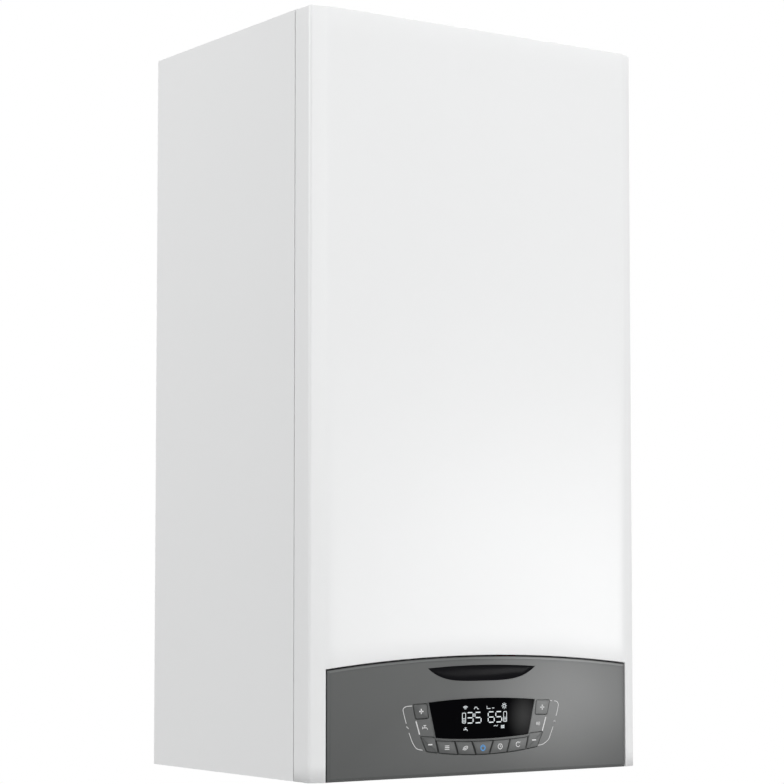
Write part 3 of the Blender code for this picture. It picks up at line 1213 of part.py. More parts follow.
def make_return_block():
    """Right hydraulic block: return way, pump volute with its wheel chamber, valve and tap seats."""
    low_x, high_x = RETURN_BLOCK_X
    side_view = rounded([(BLOCK_BACK, BLOCK_LOW), (BLOCK_FRONT, BLOCK_LOW), (BLOCK_FRONT, RETURN_BLOCK_TOP - 0.010),
                         (BLOCK_FRONT - 0.010, RETURN_BLOCK_TOP), (BLOCK_BACK + 0.012, RETURN_BLOCK_TOP),
                         (BLOCK_BACK, RETURN_BLOCK_TOP - 0.012)], 0.004, 1)
    block = prism("return_manifold", [side_view], "side", (low_x, high_x), "black_plastic")
    volute_deep = BLOCK_FRONT - VOLUTE_BACK
    fuse(block, rod("volute", (PUMP_X, VOLUTE_BACK, PUMP_H), "front", VOLUTE_R, volute_deep, sides=ROUND))
    fuse(block, slab("volute_neck", (PUMP_X - 0.028, PUMP_X + 0.028), (VOLUTE_BACK + 0.004, BLOCK_FRONT - 0.004),
                     (RETURN_BLOCK_TOP - 0.020, PUMP_H)))
    fuse(block, rod("riser", (RISER_X, RISER_D, PUMP_H), "up", PIPE_R + 0.003, RISER_SEAT - PUMP_H, sides=12))
    fuse(block, rod("vent_seat", (VENT_X, RISER_D, PUMP_H), "up", VENT_R * 0.6, VENT_SEAT - PUMP_H, sides=10))
    fuse(block, rod("valve_seat", (KNOB_X, BLOCK_FRONT - 0.004, KNOB_H), "front", KNOB_R * 0.7, 0.024, sides=12))
    fuse(block, rod("tap_seat", (TAP_X, TAP_D, PLATE_TOP + 0.006), "up", TAP_R * 0.7, BLOCK_LOW - PLATE_TOP,
                    sides=10))
    fuse(block, rod("block_foot", (RETURN_BLOCK_X[1] - 0.007, BLOCK_BACK + 0.008, PLATE_TOP), "up", 0.006,
                    BLOCK_LOW - PLATE_TOP + 0.004, sides=10))
    middle = (PLATES_H[0] + PLATES_H[1]) / 2
    fuse(block, rod("plate_boss", (PLATES_X[1] - 0.012, BLOCK_FRONT - PLATE_BOSS, middle), "front", 0.010,
                    2 * PLATE_BOSS, sides=10))
    cut(block, rod("wheel_chamber", (PUMP_X, VOLUTE_BACK + 0.008, PUMP_H), "front", PUMP_WHEEL_R + 0.004,
                   volute_deep, sides=16))
    cut(block, rod("knob_bore", (KNOB_X, BLOCK_FRONT + 0.004, KNOB_H), "front", SHAFT_R + SHAFT_CLEAR, 0.020,
                   sides=12))
    cut(block, rod("tap_bore", (TAP_X, TAP_D, PLATE_TOP), "up", TAP_SHAFT_R + SHAFT_CLEAR, 0.016, sides=12))


def make_pump():
    """Pump wheel in its chamber, on a shaft that runs into the motor can."""
    tall = 0.020
    back = VOLUTE_BACK + 0.008 + 0.002
    wheel_back = back + tall
    wheel = bladed_wheel("pump_impeller", (PUMP_X, wheel_back, PUMP_H), "back", PUMP_WHEEL_R, 0.012, tall,
                         PUMP_BLADES, -0.9, "black_plastic")
    seat = BLOCK_FRONT + GAP
    depth = PUMP_LENGTH * 0.4
    fuse(wheel, rod("pump_shaft", (PUMP_X, wheel_back - SHAFT_R, PUMP_H), "front", SHAFT_R,
                    seat + depth - wheel_back + SHAFT_R, sides=12), solver="MANIFOLD")
    can = [(0, PUMP_LENGTH), (PUMP_R * 0.30, PUMP_LENGTH), (PUMP_R * 0.32, PUMP_LENGTH - 0.006),
           (PUMP_R * 0.9, PUMP_LENGTH - 0.010), (PUMP_R, PUMP_LENGTH - 0.018), (PUMP_R, 0.010),
           (PUMP_R + 0.004, 0.008), (PUMP_R + 0.004, 0), (0, 0)]
    motor = turned("pump_motor", can, (PUMP_X, seat, PUMP_H), "front", "cast_aluminium", steps=20)
    fuse(motor, slab("pump_terminals", (PUMP_X - 0.024, PUMP_X + 0.024), (seat + 0.016, seat + PUMP_LENGTH - 0.016),
                     (PUMP_H + PUMP_R * 0.7, PUMP_H + PUMP_R + 0.010)))
    cut(motor, rod("pump_bore", (PUMP_X, seat - SHEET, PUMP_H), "front", SHAFT_R + SHAFT_CLEAR,
                   depth + 3 * SHEET, sides=12))


def make_plate_exchanger():
    """Brazed plate exchanger: stacked pressed plates between two end plates."""
    start = BLOCK_SEAT + GAP
    core = rounded(rectangle(PLATES_X, PLATES_H), 0.012, 1)
    stack = prism("plate_heat_exchanger", [core], "front", (start, start + PLATES_T), "stainless")
    pitch = PLATES_T / PLATE_COUNT
    for i in range(PLATE_COUNT):
        middle = start + pitch * (i + 0.5)
        fuse(stack, prism("plate_edge", [grown(core, PLATE_EDGE)], "front",
                          (middle - pitch * 0.22, middle + pitch * 0.22)))


def make_small_hydraulics():
    """Air vent, diverter motor, condensate trap, safety knob, filling knob and cable gland."""
    vent = [(0, VENT_TALL), (0.003, VENT_TALL), (0.003, VENT_TALL - 0.005), (0.008, VENT_TALL - 0.006),
            (0.008, VENT_TALL - 0.014), (VENT_R, VENT_TALL - 0.018), (VENT_R, 0.008), (VENT_R * 0.6, 0),
            (0, 0)]
    turned("air_vent", vent, (VENT_X, RISER_D, VENT_SEAT + GAP), "up", "brass", steps=14)

    motor = [(0, DIVERTER_TALL), (DIVERTER_R * 0.8, DIVERTER_TALL), (DIVERTER_R, DIVERTER_TALL - 0.004),
             (DIVERTER_R, 0.014), (DIVERTER_R * 0.7, 0.012), (DIVERTER_R * 0.7, 0), (0, 0)]
    middle = (BLOCK_BACK + BLOCK_FRONT) / 2
    body = turned("diverter_motor", motor, (DIVERTER_X, middle, FLOW_BLOCK_TOP + GAP), "up",
                  "black_plastic", steps=16)
    fuse(body, slab("diverter_plug", (DIVERTER_X - 0.009, DIVERTER_X + 0.009),
                    (middle + DIVERTER_R * 0.7, middle + DIVERTER_R + 0.008),
                    (FLOW_BLOCK_TOP + 0.022, FLOW_BLOCK_TOP + 0.036)))

    foot = SIPHON_FOOT - PLATE_TOP
    outlet = 0.0085
    trap = [(0, SIPHON_TALL), (SIPHON_R * 0.8, SIPHON_TALL), (SIPHON_R, SIPHON_TALL - 0.006), (SIPHON_R, 0),
            (SIPHON_NECK_R, 0), (SIPHON_NECK_R, -0.010), (SIPHON_NECK_R * 0.8, foot + 0.008),
            (outlet + 0.003, foot + 0.006), (outlet + 0.003, foot), (outlet, foot), (outlet, foot + 0.020),
            (0, foot + 0.020)]
    turned("siphon", trap, (SIPHON_X, SIPHON_D, PLATE_TOP), "up", "black_plastic", steps=16)

    seat = BLOCK_FRONT + 0.020 + GAP
    knob = [(0, 0.020), (KNOB_R * 0.8, 0.020), (KNOB_R, 0.017), (KNOB_R, 0.003), (KNOB_R * 0.9, 0),
            (SHAFT_R, 0), (SHAFT_R, -0.012), (0, -0.012)]
    safety = turned("safety_knob", knob, (KNOB_X, seat, KNOB_H), "front", "red_plastic", steps=16)
    cut(safety, *[rod("knob_flute", (KNOB_X + KNOB_R * 1.15 * math.cos(turn), seat - SHEET,
                                     KNOB_H + KNOB_R * 1.15 * math.sin(turn)), "front", KNOB_R * 0.28, 0.030,
                      sides=10) for turn in [math.pi * i / 3 for i in range(6)]])

    top = PLATE_H - 0.004
    stem = BLOCK_LOW - 0.010 - top
    tap = [(0, stem), (TAP_SHAFT_R, stem), (TAP_SHAFT_R, 0), (TAP_R * 0.8, 0), (TAP_R, -0.003),
           (TAP_R, -0.016), (TAP_R * 0.85, -0.018), (0, -0.018)]
    handle = turned("filling_knob", tap, (TAP_X, TAP_D, top), "up", "blue_plastic", steps=16)
    cut(handle, *[rod("tap_flute", (TAP_X + TAP_R * 1.2 * math.cos(turn), TAP_D + TAP_R * 1.2 * math.sin(turn),
                                    top - 0.024), "up", TAP_R * 0.32, 0.030, sides=8)
                  for turn in [math.pi * i / 3 for i in range(6)]])

    lip = 0.003
    bore = GLAND_NECK_R * 0.45
    gland = [(GLAND_NECK_R + lip, 0.008), (GLAND_NECK_R + lip, 0), (GLAND_NECK_R, 0),
             (GLAND_NECK_R, -0.006), (GLAND_NECK_R + lip / 2, -0.006), (GLAND_NECK_R * 0.75, -0.022), (bore, -0.022),
             (bore, 0.008)]
    turned("cable_gland", gland, (GLAND_X, GLAND_D, PLATE_TOP), "up", "black_plastic", steps=12, closed=True)


def make_pipes():
    """Gas, heating, vessel and condensate pipes, each along its own bends."""
    lift = PIPE_BEND * 2.4
    run_h = VALVE_FOOT - lift
    pipe("gas_pipe", [(0, STUB_D, BLOCK_LOW), (0, STUB_D, run_h), (FAN_X, FAN_D, run_h),
                      (FAN_X, FAN_D, VALVE_FOOT - GAP)], PIPE_R, PIPE_BEND, "copper")

    left = DRUM_X - PORT_X
    middle = (BLOCK_BACK + BLOCK_FRONT) / 2 + 0.010
    down_x = FLOW_BLOCK_X[0] + 2 * PIPE_R
    fall = PORT_H - FLOW_BLOCK_TOP
    pipe("flow_pipe", [(left, PORT_D, PORT_H - GAP), (left, PORT_D, PORT_H - 0.47 * fall),
                       (down_x, middle, FLOW_BLOCK_TOP + 0.36 * fall), (down_x, middle, FLOW_BLOCK_TOP + GAP)],
         PIPE_R, PIPE_BEND, "copper")

    right = DRUM_X + PORT_X
    turn_h = RISER_SEAT + lift * 0.6
    pipe("return_pipe", [(RISER_X, RISER_D, RISER_SEAT + GAP), (RISER_X, RISER_D, turn_h),
                         (right, PORT_D, turn_h + 0.020), (right, PORT_D, PORT_H - GAP)],
         PIPE_R, PIPE_BEND, "copper")

    nipple_d = VESSEL_BACK + VESSEL_T / 2
    seat_d = BLOCK_BACK + 4 * THIN_PIPE_R
    fall = NIPPLE_END - RETURN_BLOCK_TOP
    pipe("expansion_pipe", [(NIPPLE_X, nipple_d, NIPPLE_END - GAP), (NIPPLE_X, nipple_d, NIPPLE_END - 0.24 * fall),
                            (EXPANSION_X, seat_d, NIPPLE_END - 0.55 * fall),
                            (EXPANSION_X, seat_d, RETURN_BLOCK_TOP + GAP)],
         THIN_PIPE_R, PIPE_BEND, "copper")

    drain_h = DRUM_H - (DRUM_R - DRUM_WALL) * FACET - PORT_DROP
    fall = drain_h - SIPHON_TOP
    pipe("condensate_hose", [(DRUM_X, DRAIN_D, drain_h - GAP), (DRUM_X, DRAIN_D, drain_h - 0.26 * fall),
                             (SIPHON_X, SIPHON_D, SIPHON_TOP + 0.35 * fall), (SIPHON_X, SIPHON_D, SIPHON_TOP + GAP)],
         PIPE_R, PIPE_BEND, "rubber")


def on_axis(name, children, location):
    """Hang pieces on an empty that marks their joint's axis, without moving them."""
    axis = bpy.data.objects.new(name, None)
    parts.objects.link(axis)
    axis.location = location
    bpy.context.view_layer.update()
    for child in children:
        held = bpy.data.objects[child]
        held.parent = axis
        held.matrix_parent_inverse = axis.matrix_world.inverted()


make_rear_panel()
make_side_panel("left_side_panel", -1)
make_side_panel("right_side_panel", 1)
make_top_panel()
make_connection_plate()
make_front_cover()
make_fascia()
make_window_and_badge()
make_keys()
make_control_box()
make_circuit_board()
make_exchanger_drum()
make_exchanger_coil()
make_burner()
make_carrier_and_vessel()
make_flue()
make_fan()
make_mixer_duct()
make_gas_train()
make_water_connections()
make_flow_block()
make_return_block()
make_pump()
make_plate_exchanger()
make_small_hydraulics()
make_pipes()

box_pieces = ["control_fascia", "display_window", "badge_insert", "control_box", "circuit_board"]
on_axis("control_box_hinge", box_pieces + list(key_outlines()), place(0, HINGE_D, HINGE_H))
on_axis("cover_slide", ["front_cover"], place(0, COVER_BACK, CASE_H / 2))
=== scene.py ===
import json
import math

import bmesh
import bpy
import numpy as np
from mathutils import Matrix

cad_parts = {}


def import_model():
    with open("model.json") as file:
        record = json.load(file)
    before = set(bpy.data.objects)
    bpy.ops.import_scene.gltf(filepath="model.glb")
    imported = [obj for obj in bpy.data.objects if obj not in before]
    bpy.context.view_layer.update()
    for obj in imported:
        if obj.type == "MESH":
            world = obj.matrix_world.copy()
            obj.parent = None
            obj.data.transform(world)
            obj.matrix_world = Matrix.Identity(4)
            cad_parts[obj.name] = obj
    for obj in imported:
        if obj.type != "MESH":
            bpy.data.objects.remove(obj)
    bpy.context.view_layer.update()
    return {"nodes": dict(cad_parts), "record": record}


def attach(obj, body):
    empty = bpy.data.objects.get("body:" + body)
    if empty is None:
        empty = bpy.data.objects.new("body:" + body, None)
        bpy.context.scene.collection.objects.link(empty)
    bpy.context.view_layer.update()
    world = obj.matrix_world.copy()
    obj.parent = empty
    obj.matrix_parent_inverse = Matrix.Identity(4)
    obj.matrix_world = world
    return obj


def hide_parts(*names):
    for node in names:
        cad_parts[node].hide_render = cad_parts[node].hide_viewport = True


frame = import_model()
print("frame loaded:", len(frame["nodes"]), "nodes")

halfWidth = 0.200       # casing, metres
frontDepth = 0.315      # from the wall to the front plate
caseHeight = 0.745
baseZ = -0.3725         # world height of the casing's foot


def world(x, depth, height):
    # side, depth from the wall and height above the foot, to the frame's axes
    x, depth, height = np.broadcast_arrays(x, depth, height)
    return np.stack([x, -depth, height + baseZ], axis=-1)


def linked(name, data):
    made = bpy.data.objects.new(name, data)
    bpy.context.scene.collection.objects.link(made)
    return made


# ---- view, floor and lamps

view = dict(lens=109.0, shiftY=0.059, lift=3.607, turn=-34.42, place=(-1.4093, -2.2131, -0.1885))

camera = linked("camera", bpy.data.cameras.new("camera"))
camera.data.lens = view["lens"]
camera.data.sensor_width = 36.0
camera.data.shift_y = view["shiftY"]
camera.data.clip_end = 200.0
camera.location = view["place"]
camera.rotation_euler = (math.radians(90 + view["lift"]), 0, math.radians(view["turn"]))
bpy.context.scene.camera = camera
bpy.context.scene.view_settings.view_transform = "Standard"


class Wire:
    # one node socket; + - * / between wires and numbers add Math nodes, add() makes any other node
    def __init__(self, tree, socket=None):
        self.tree = tree
        self.socket = socket

    def add(self, kind, settings=None, inputs=None, out=0):
        node = self.tree.nodes.new("ShaderNode" + kind)
        for key, value in (settings or {}).items():
            setattr(node, key, value)
        for key, value in (inputs or {}).items():
            if isinstance(value, Wire):
                self.tree.links.new(value.socket, node.inputs[key])
            else:
                node.inputs[key].default_value = value
        return Wire(self.tree, node.outputs[out])

    def into(self, kind):
        node = self.tree.nodes.new("ShaderNode" + kind)
        self.tree.links.new(self.socket, node.inputs[0])

    def maths(self, operation, first, second=0.0, clamp=False):
        return self.add("Math", {"operation": operation, "use_clamp": clamp}, {0: first, 1: second})

    def __add__(self, other):
        return self.maths("ADD", self, other)

    def __radd__(self, other):
        return self.maths("ADD", other, self)

    def __sub__(self, other):
        return self.maths("SUBTRACT", self, other)

    def __rsub__(self, other):
        return self.maths("SUBTRACT", other, self)

    def __mul__(self, other):
        return self.maths("MULTIPLY", self, other)

    def __rmul__(self, other):
        return self.maths("MULTIPLY", other, self)

    def __truediv__(self, other):
        return self.maths("DIVIDE", self, other)

    def limited(self):
        return self.maths("ADD", self, 0.0, clamp=True)

    def blend(self, first, second):
        # this value mixes two colours
        return self.add("Mix", {"data_type": "RGBA"}, {0: self, 6: first, 7: second}, out=2)


def ink(red, green, blue):
    return (red, green, blue, 1.0)


def freshTree(owner):
    owner.use_nodes = True
    owner.node_tree.nodes.clear()
    return Wire(owner.node_tree)


def grey(level):
    return ink(level, level, level)


stageLook = dict(drop=0.75, reach=40.0, paint=0.86, fadeFrom=1.2, fadeTo=3.2, skylight=0.25)


def seenDirectly(start):
    # 1 where the camera, a reflection or a glass pane looks at the backdrop
    path = start.add("LightPath").socket.node
    camera, glossy, through = (Wire(start.tree, path.outputs[f"Is {ray} Ray"])
                               for ray in ("Camera", "Glossy", "Transmission"))
    return (camera + glossy + through).limited()


def makeStage():
    floor = bpy.data.meshes.new("floor")
    reach = stageLook["reach"]
    level = baseZ - stageLook["drop"]
    corners = [(-reach, -reach), (reach, -reach), (reach, reach), (-reach, reach)]
    floor.from_pydata([(x, y, level) for x, y in corners], [], [(0, 1, 2, 3)])
    linked("floor", floor)

    paint = bpy.data.materials.new("paleFloor")
    start = freshTree(paint)
    spot = start.add("TexCoord", out=3)
    away = start.add("VectorMath", {"operation": "LENGTH"}, {0: spot}, out=1)
    far = ((away - stageLook["fadeFrom"]) / (stageLook["fadeTo"] - stageLook["fadeFrom"])).limited()
    matt = start.add("BsdfDiffuse", None, {"Color": grey(stageLook["paint"])})
    bright = start.add("Emission", None, {"Color": grey(1.0), "Strength": 1.0})
    mixed = start.add("MixShader", None, {0: far * seenDirectly(start), 1: matt, 2: bright})
    mixed.into("OutputMaterial")
    floor.materials.append(paint)

    sky = bpy.data.worlds.new("studio")
    bpy.context.scene.world = sky
    start = freshTree(sky)
    lit = start.add("Background", None, {"Color": grey(1.0), "Strength": stageLook["skylight"]})
    plain = start.add("Background", None, {"Color": grey(1.0), "Strength": 1.0})
    mixed = start.add("MixShader", None, {0: seenDirectly(start), 1: lit, 2: plain})
    mixed.into("OutputWorld")


lamps = [
    dict(name="keyBox", place=(1.61, -2.235, -0.28), aim=(0.09, -0.315, -0.25), size=(0.36, 0.60), power=11),
    dict(name="sideBox", place=(-2.40, 0.30, 1.10), aim=(-0.20, -0.16, 0.05), size=(1.4, 1.4), power=32),
    dict(name="topBox", place=(0.20, -1.10, 2.60), aim=(0.0, -0.16, 0.20), size=(1.8, 1.8), power=48),
    dict(name="frontBox", place=(-0.30, -2.60, 0.50), aim=(0.0, -0.315, 0.0), size=(1.6, 1.6), power=19),
]


def makeLamps():
    for lamp in lamps:
        light = bpy.data.lights.new(lamp["name"], "AREA")
        light.shape = "RECTANGLE"
        light.size, light.size_y = lamp["size"]
        light.energy = lamp["power"]
        holder = linked(lamp["name"], light)
        ray = np.subtract(lamp["aim"], lamp["place"])
        flat = math.hypot(ray[0], ray[1])
        holder.location = lamp["place"]
        holder.rotation_euler = (math.pi / 2 + math.atan2(ray[2], flat), 0, math.atan2(-ray[0], ray[1]))


makeStage()
makeLamps()
print("stage and lamps ready")


# ---- finishes

def newFinish(name, build, metal=0.0, **fixed):
    # build(start, spot) returns the varying sockets; what is even all over is set on the shader itself
    made = bpy.data.materials.new(name)
    start = freshTree(made)
    inputs = {key.replace("_", " "): value for key, value in fixed.items()}
    inputs.update(build(start, start.add("TexCoord", out=3)), Metallic=metal)
    start.add("BsdfPrincipled", None, inputs).into("OutputMaterial")
    return made


def noise(start, spot, scale, detail=2.0, rough=0.5, stretch=None):
    if stretch:
        spot = start.add("Mapping", None, {"Vector": spot, "Scale": stretch})
    return start.add("TexNoise", None, {"Vector": spot, "Scale": scale, "Detail": detail, "Roughness": rough})


def bump(start, height, strength, distance):
    return start.add("Bump", None, {"Height": height, "Strength": strength, "Distance": distance})


enamelLook = dict(colour=(0.815, 0.820, 0.822), rough=0.34, peel=520.0, peelDepth=0.00004, cloud=5.0, shade=0.012)


def enamel(start, spot):
    # fired paint: soft clouding, a fine orange peel and a slightly uneven gloss
    cloud = noise(start, spot, enamelLook["cloud"])
    deep = tuple(c * (1 - enamelLook["shade"]) for c in enamelLook["colour"])
    peel = noise(start, spot, enamelLook["peel"], 1.0)
    return {"Base Color": cloud.blend(ink(*deep), ink(*enamelLook["colour"])),
            "Roughness": cloud * 0.06 + (enamelLook["rough"] - 0.03),
            "Normal": bump(start, peel, 0.35, enamelLook["peelDepth"])}


zincLook = dict(pale=(0.64, 0.66, 0.68), dark=(0.55, 0.57, 0.60), spangle=190.0)


def zinc(start, spot):
    # hot-dip spangle: crystal cells that differ in shade and gloss
    cell = start.add("TexVoronoi", None, {"Vector": spot, "Scale": zincLook["spangle"], "Randomness": 1.0}, out=1)
    tone = start.add("SeparateColor", None, {"Color": cell})
    haze = noise(start, spot, 12.0)
    return {"Base Color": tone.blend(ink(*zincLook["dark"]), ink(*zincLook["pale"])),
            "Roughness": tone * 0.09 + haze * 0.08 + 0.34}


steelLook = dict(pale=(0.68, 0.67, 0.65), dark=(0.52, 0.51, 0.49), line=(30.0, 4.0, 0.6), stretch=22.0,
                 haze=(9.0, 2.0), gloss=0.20, strength=0.2, deep=0.00003)
brassLook = dict(pale=(0.82, 0.64, 0.34), dark=(0.50, 0.36, 0.17), line=(60.0, 2.0, 0.5), stretch=30.0,
                 haze=(40.0, 3.0), gloss=0.22, strength=0.25, deep=0.00004)


def drawn(look):
    # drawn steel and turned brass: fine lines from the tool, and a haze or tarnish in soft patches
    def build(start, spot):
        line = noise(start, spot, *look["line"], stretch=(1.0, 1.0, look["stretch"]))
        haze = noise(start, spot, *look["haze"])
        return {"Base Color": haze.blend(ink(*look["dark"]), ink(*look["pale"])),
                "Roughness": line * look["gloss"] + 0.18,
                "Normal": bump(start, line, look["strength"], look["deep"])}
    return build


copperLook = dict(bright=(0.86, 0.47, 0.31), dull=(0.42, 0.20, 0.13))


def copper(start, spot):
    # tube that has begun to darken in patches
    patch = noise(start, spot, 28.0, 4.0, 0.65)
    mask = ((patch - 0.42) * 3.2).limited()
    return {"Base Color": mask.blend(ink(*copperLook["bright"]), ink(*copperLook["dull"])),
            "Roughness": mask * 0.25 + 0.20}


castLook = dict(pale=(0.62, 0.63, 0.64), dark=(0.44, 0.45, 0.46), grain=420.0)


def castMetal(start, spot):
    # pressure-cast surface: sandy grain, broad flow marks
    grain = noise(start, spot, castLook["grain"], 3.0, 0.6)
    flow = noise(start, spot, 14.0, 3.0)
    return {"Base Color": flow.blend(ink(*castLook["dark"]), ink(*castLook["pale"])),
            "Roughness": grain * 0.15 + flow * 0.15 + 0.32, "Normal": bump(start, grain, 0.5, 0.00012)}


# deep and bright: the satin grey away from and at the painted highlight; centre, wide and tall place that painted
# highlight
satinAndHighlightLook = dict(deep=(0.082, 0.085, 0.084), bright=(0.205, 0.209, 0.208), grain=1400.0,
                 centre=(0.105, -0.3150, baseZ + 0.075), wide=0.150, tall=0.100)


def roundMask(start, spot, look):
    # 1 at the centre, falling smoothly to 0 at an ellipse: 3f² - 2f³ with f = 1 - distance in half axes
    offset = start.add("VectorMath", {"operation": "SUBTRACT"}, {0: spot, 1: look["centre"]})
    shaped = start.add("VectorMath", {"operation": "DIVIDE"}, {0: offset, 1: (look["wide"], 1.0, look["tall"])})
    away = start.add("VectorMath", {"operation": "LENGTH"}, {0: shaped}, out=1)
    fall = (1.0 - away).limited()
    return fall * fall * (3.0 - fall * 2.0)


def satinWithPaintedHighlight(lift=1.0):
    # spark-eroded mould face under a satin grey paint, with a painted highlight that lightens the grey towards the
    # right
    def build(start, spot):
        grain = noise(start, spot, satinAndHighlightLook["grain"], 2.0)
        # painted highlight: the grey lightens inside an ellipse round the centre
        paintedHighlight = roundMask(start, spot, satinAndHighlightLook)
        # lift above 1 makes a lighter copy of both greys, for the painted highlight on the bevel
        deep, bright = (ink(*(lift * part for part in satinAndHighlightLook[tone])) for tone in ("deep", "bright"))
        return {"Base Color": paintedHighlight.blend(deep, bright), "Roughness": grain * 0.10 + 0.33,
                "Normal": bump(start, grain, 0.35, 0.00003)}
    return build


def moulded(pale, dark, rough, grainSize, depth=0.00004):
    # plain moulding: fine grain, faint flow lines
    def build(start, spot):
        grain = noise(start, spot, grainSize, 2.0)
        cloud = noise(start, spot, 11.0, 3.0)
        return {"Base Color": cloud.blend(ink(*dark), ink(*pale)), "Roughness": grain * 0.14 + (rough - 0.07),
                "Normal": bump(start, grain, 0.4, depth)}
    return build


def laminate(start, spot):
    # green circuit laminate with lighter tracks along two directions
    parts = start.add("SeparateXYZ", None, {"Vector": spot}).socket.node
    across = Wire(spot.tree, parts.outputs[0])
    up = Wire(spot.tree, parts.outputs[2])
    band = start.maths("PINGPONG", across * 1.0, 0.0024)
    rung = start.maths("PINGPONG", up * 1.0, 0.0018)
    cell = start.add("TexVoronoi", None, {"Vector": spot, "Scale": 90.0}, out=1)
    pick = start.add("SeparateColor", None, {"Color": cell})
    track = start.maths("LESS_THAN", band, 0.0005) * start.maths("GREATER_THAN", pick, 0.45)
    cross = start.maths("LESS_THAN", rung, 0.0004) * start.maths("LESS_THAN", pick, 0.40)
    mask = (track + cross).limited()
    return {"Base Color": mask.blend(ink(0.012, 0.095, 0.045), ink(0.05, 0.26, 0.12)),
            "Roughness": mask * 0.10 + 0.34}


# centre, wide and tall place a painted reflection on the display glass; level is its grey
glassReflectionLook = dict(centre=(0.052, -0.3147, baseZ + 0.056), wide=0.024, tall=0.030, level=0.045)


def glassWithPaintedReflection(start, spot):
    # black acrylic over the display, with a painted reflection: a soft grey patch in its colour towards the right
    paintedReflection = roundMask(start, spot, glassReflectionLook)
    return {"Base Color": paintedReflection.blend(ink(0.0025, 0.0025, 0.003), grey(glassReflectionLook["level"]))}


finishes = {
    "white_enamel": newFinish("whiteEnamel", enamel),
    "zinc_sheet": newFinish("zincSheet", zinc, 1.0),
    "stainless": newFinish("washedSteel", drawn(steelLook), 1.0),
    "copper": newFinish("copperTube", copper, 1.0),
    "brass": newFinish("turnedBrass", drawn(brassLook), 1.0),
    "cast_aluminium": newFinish("castAluminium", castMetal, 1.0),
    "grey_fascia": newFinish("greySatinPaintedHighlight", satinWithPaintedHighlight(), Specular_IOR_Level=0.25),
    "black_plastic": newFinish("blackMoulding", moulded((0.026, 0.026, 0.028), (0.016, 0.016, 0.018), 0.42, 900.0)),
    "dark_glass": newFinish("darkLens", moulded((0.007, 0.007, 0.008), (0.005, 0.005, 0.006), 0.20, 700.0, 0.00001),
                            Specular_IOR_Level=0.02),
    "red_lacquer": newFinish("redLacquer", moulded((0.50, 0.035, 0.022), (0.40, 0.025, 0.016), 0.30, 500.0)),
    "red_plastic": newFinish("redMoulding", moulded((0.56, 0.022, 0.018), (0.48, 0.016, 0.014), 0.40, 900.0)),
    "blue_plastic": newFinish("blueMoulding", moulded((0.025, 0.14, 0.50), (0.02, 0.11, 0.42), 0.40, 900.0)),
    "rubber": newFinish("blackRubber", moulded((0.034, 0.034, 0.035), (0.022, 0.022, 0.023), 0.70, 1100.0)),
    "ceramic": newFinish("glazedCeramic", moulded((0.80, 0.77, 0.69), (0.74, 0.71, 0.63), 0.25, 300.0)),
    "circuit_green": newFinish("circuitLaminate", laminate),
}
pressedSteel = newFinish("pressedSteel", moulded((0.60, 0.60, 0.59), (0.50, 0.50, 0.49), 0.30, 320.0, 0.00001), 1.0)
# lighter copy of the fascia's satin, for the painted highlight on its bevel
paintedHighlightSatin = newFinish("paintedHighlightSatin", satinWithPaintedHighlight(1.7), Specular_IOR_Level=0.3)
# display glass whose colour holds a painted reflection towards the right
displayGlass = newFinish("displayGlass", glassWithPaintedReflection, Roughness=0.10, Specular_IOR_Level=0.0)
readoutGlow = newFinish("readoutGlow", moulded((0.62, 0.66, 0.68), (0.58, 0.62, 0.64), 0.40, 900.0),
                        Emission_Color=ink(0.80, 0.86, 0.88), Emission_Strength=0.24)
printWhite = newFinish("printWhite", moulded((0.70, 0.70, 0.70), (0.66, 0.66, 0.66), 0.5, 900.0))
printBlue = newFinish("printBlue", moulded((0.045, 0.27, 0.62), (0.04, 0.24, 0.56), 0.45, 900.0))

slotOf = {part["node"]: part["material_slot"] for part in frame["record"]["subparts"]}


def dressNodes():
    for name, node in frame["nodes"].items():
        node.data.materials.clear()
        node.data.materials.append(finishes[slotOf[name]])


dressNodes()
print("finishes ready:", len(finishes))


# ---- shapes as number grids

def addPiece(name, parts, slot, stands="", body="boiler_body", finish=None, crisp=32.0, welded=1e-6):
    # one object from several closed shapes, in the slot's finish; stands names the node that it replaces
    points, faces = joined(parts)
    mesh = bpy.data.meshes.new(name)
    mesh.from_pydata(points.tolist(), [], faces)
    mesh.validate()
    shape = bmesh.new()
    shape.from_mesh(mesh)
    bmesh.ops.remove_doubles(shape, verts=shape.verts, dist=welded)
    bmesh.ops.dissolve_degenerate(shape, dist=welded, edges=shape.edges)
    bmesh.ops.recalc_face_normals(shape, faces=shape.faces)
    shape.to_mesh(mesh)
    shape.free()
    mesh.shade_smooth()
    mesh.set_sharp_from_angle(angle=math.radians(crisp))
    mesh.materials.append(finish or finishes[slot])
    piece = linked(name, mesh)
    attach(piece, body)
    if stands:
        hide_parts(stands)
    return piece


def camelName(node):
    first, *others = node.split("_")
    return first + "".join(word.title() for word in others)


def gridFaces(rows, columns, closeRows=False, closeColumns=False):
    # four-sided faces between neighbours of a rows x columns grid of points
    a = np.arange(rows if closeRows else rows - 1)
    b = np.arange(columns if closeColumns else columns - 1)
    a, b = np.meshgrid(a, b, indexing="ij")
    c, d = (a + 1) % rows, (b + 1) % columns
    quads = np.stack([a * columns + b, a * columns + d, c * columns + d, c * columns + b], axis=-1)
    return quads.reshape(-1, 4).tolist()


def joined(parts):
    # several (points, faces) lists as one
    points, faces, count = [], [], 0
    for some, these in parts:
        some = np.asarray(some, float).reshape(-1, 3)
        points.append(some)
        faces += [[i + count for i in face] for face in these]
        count += len(some)
    return np.concatenate(points), faces


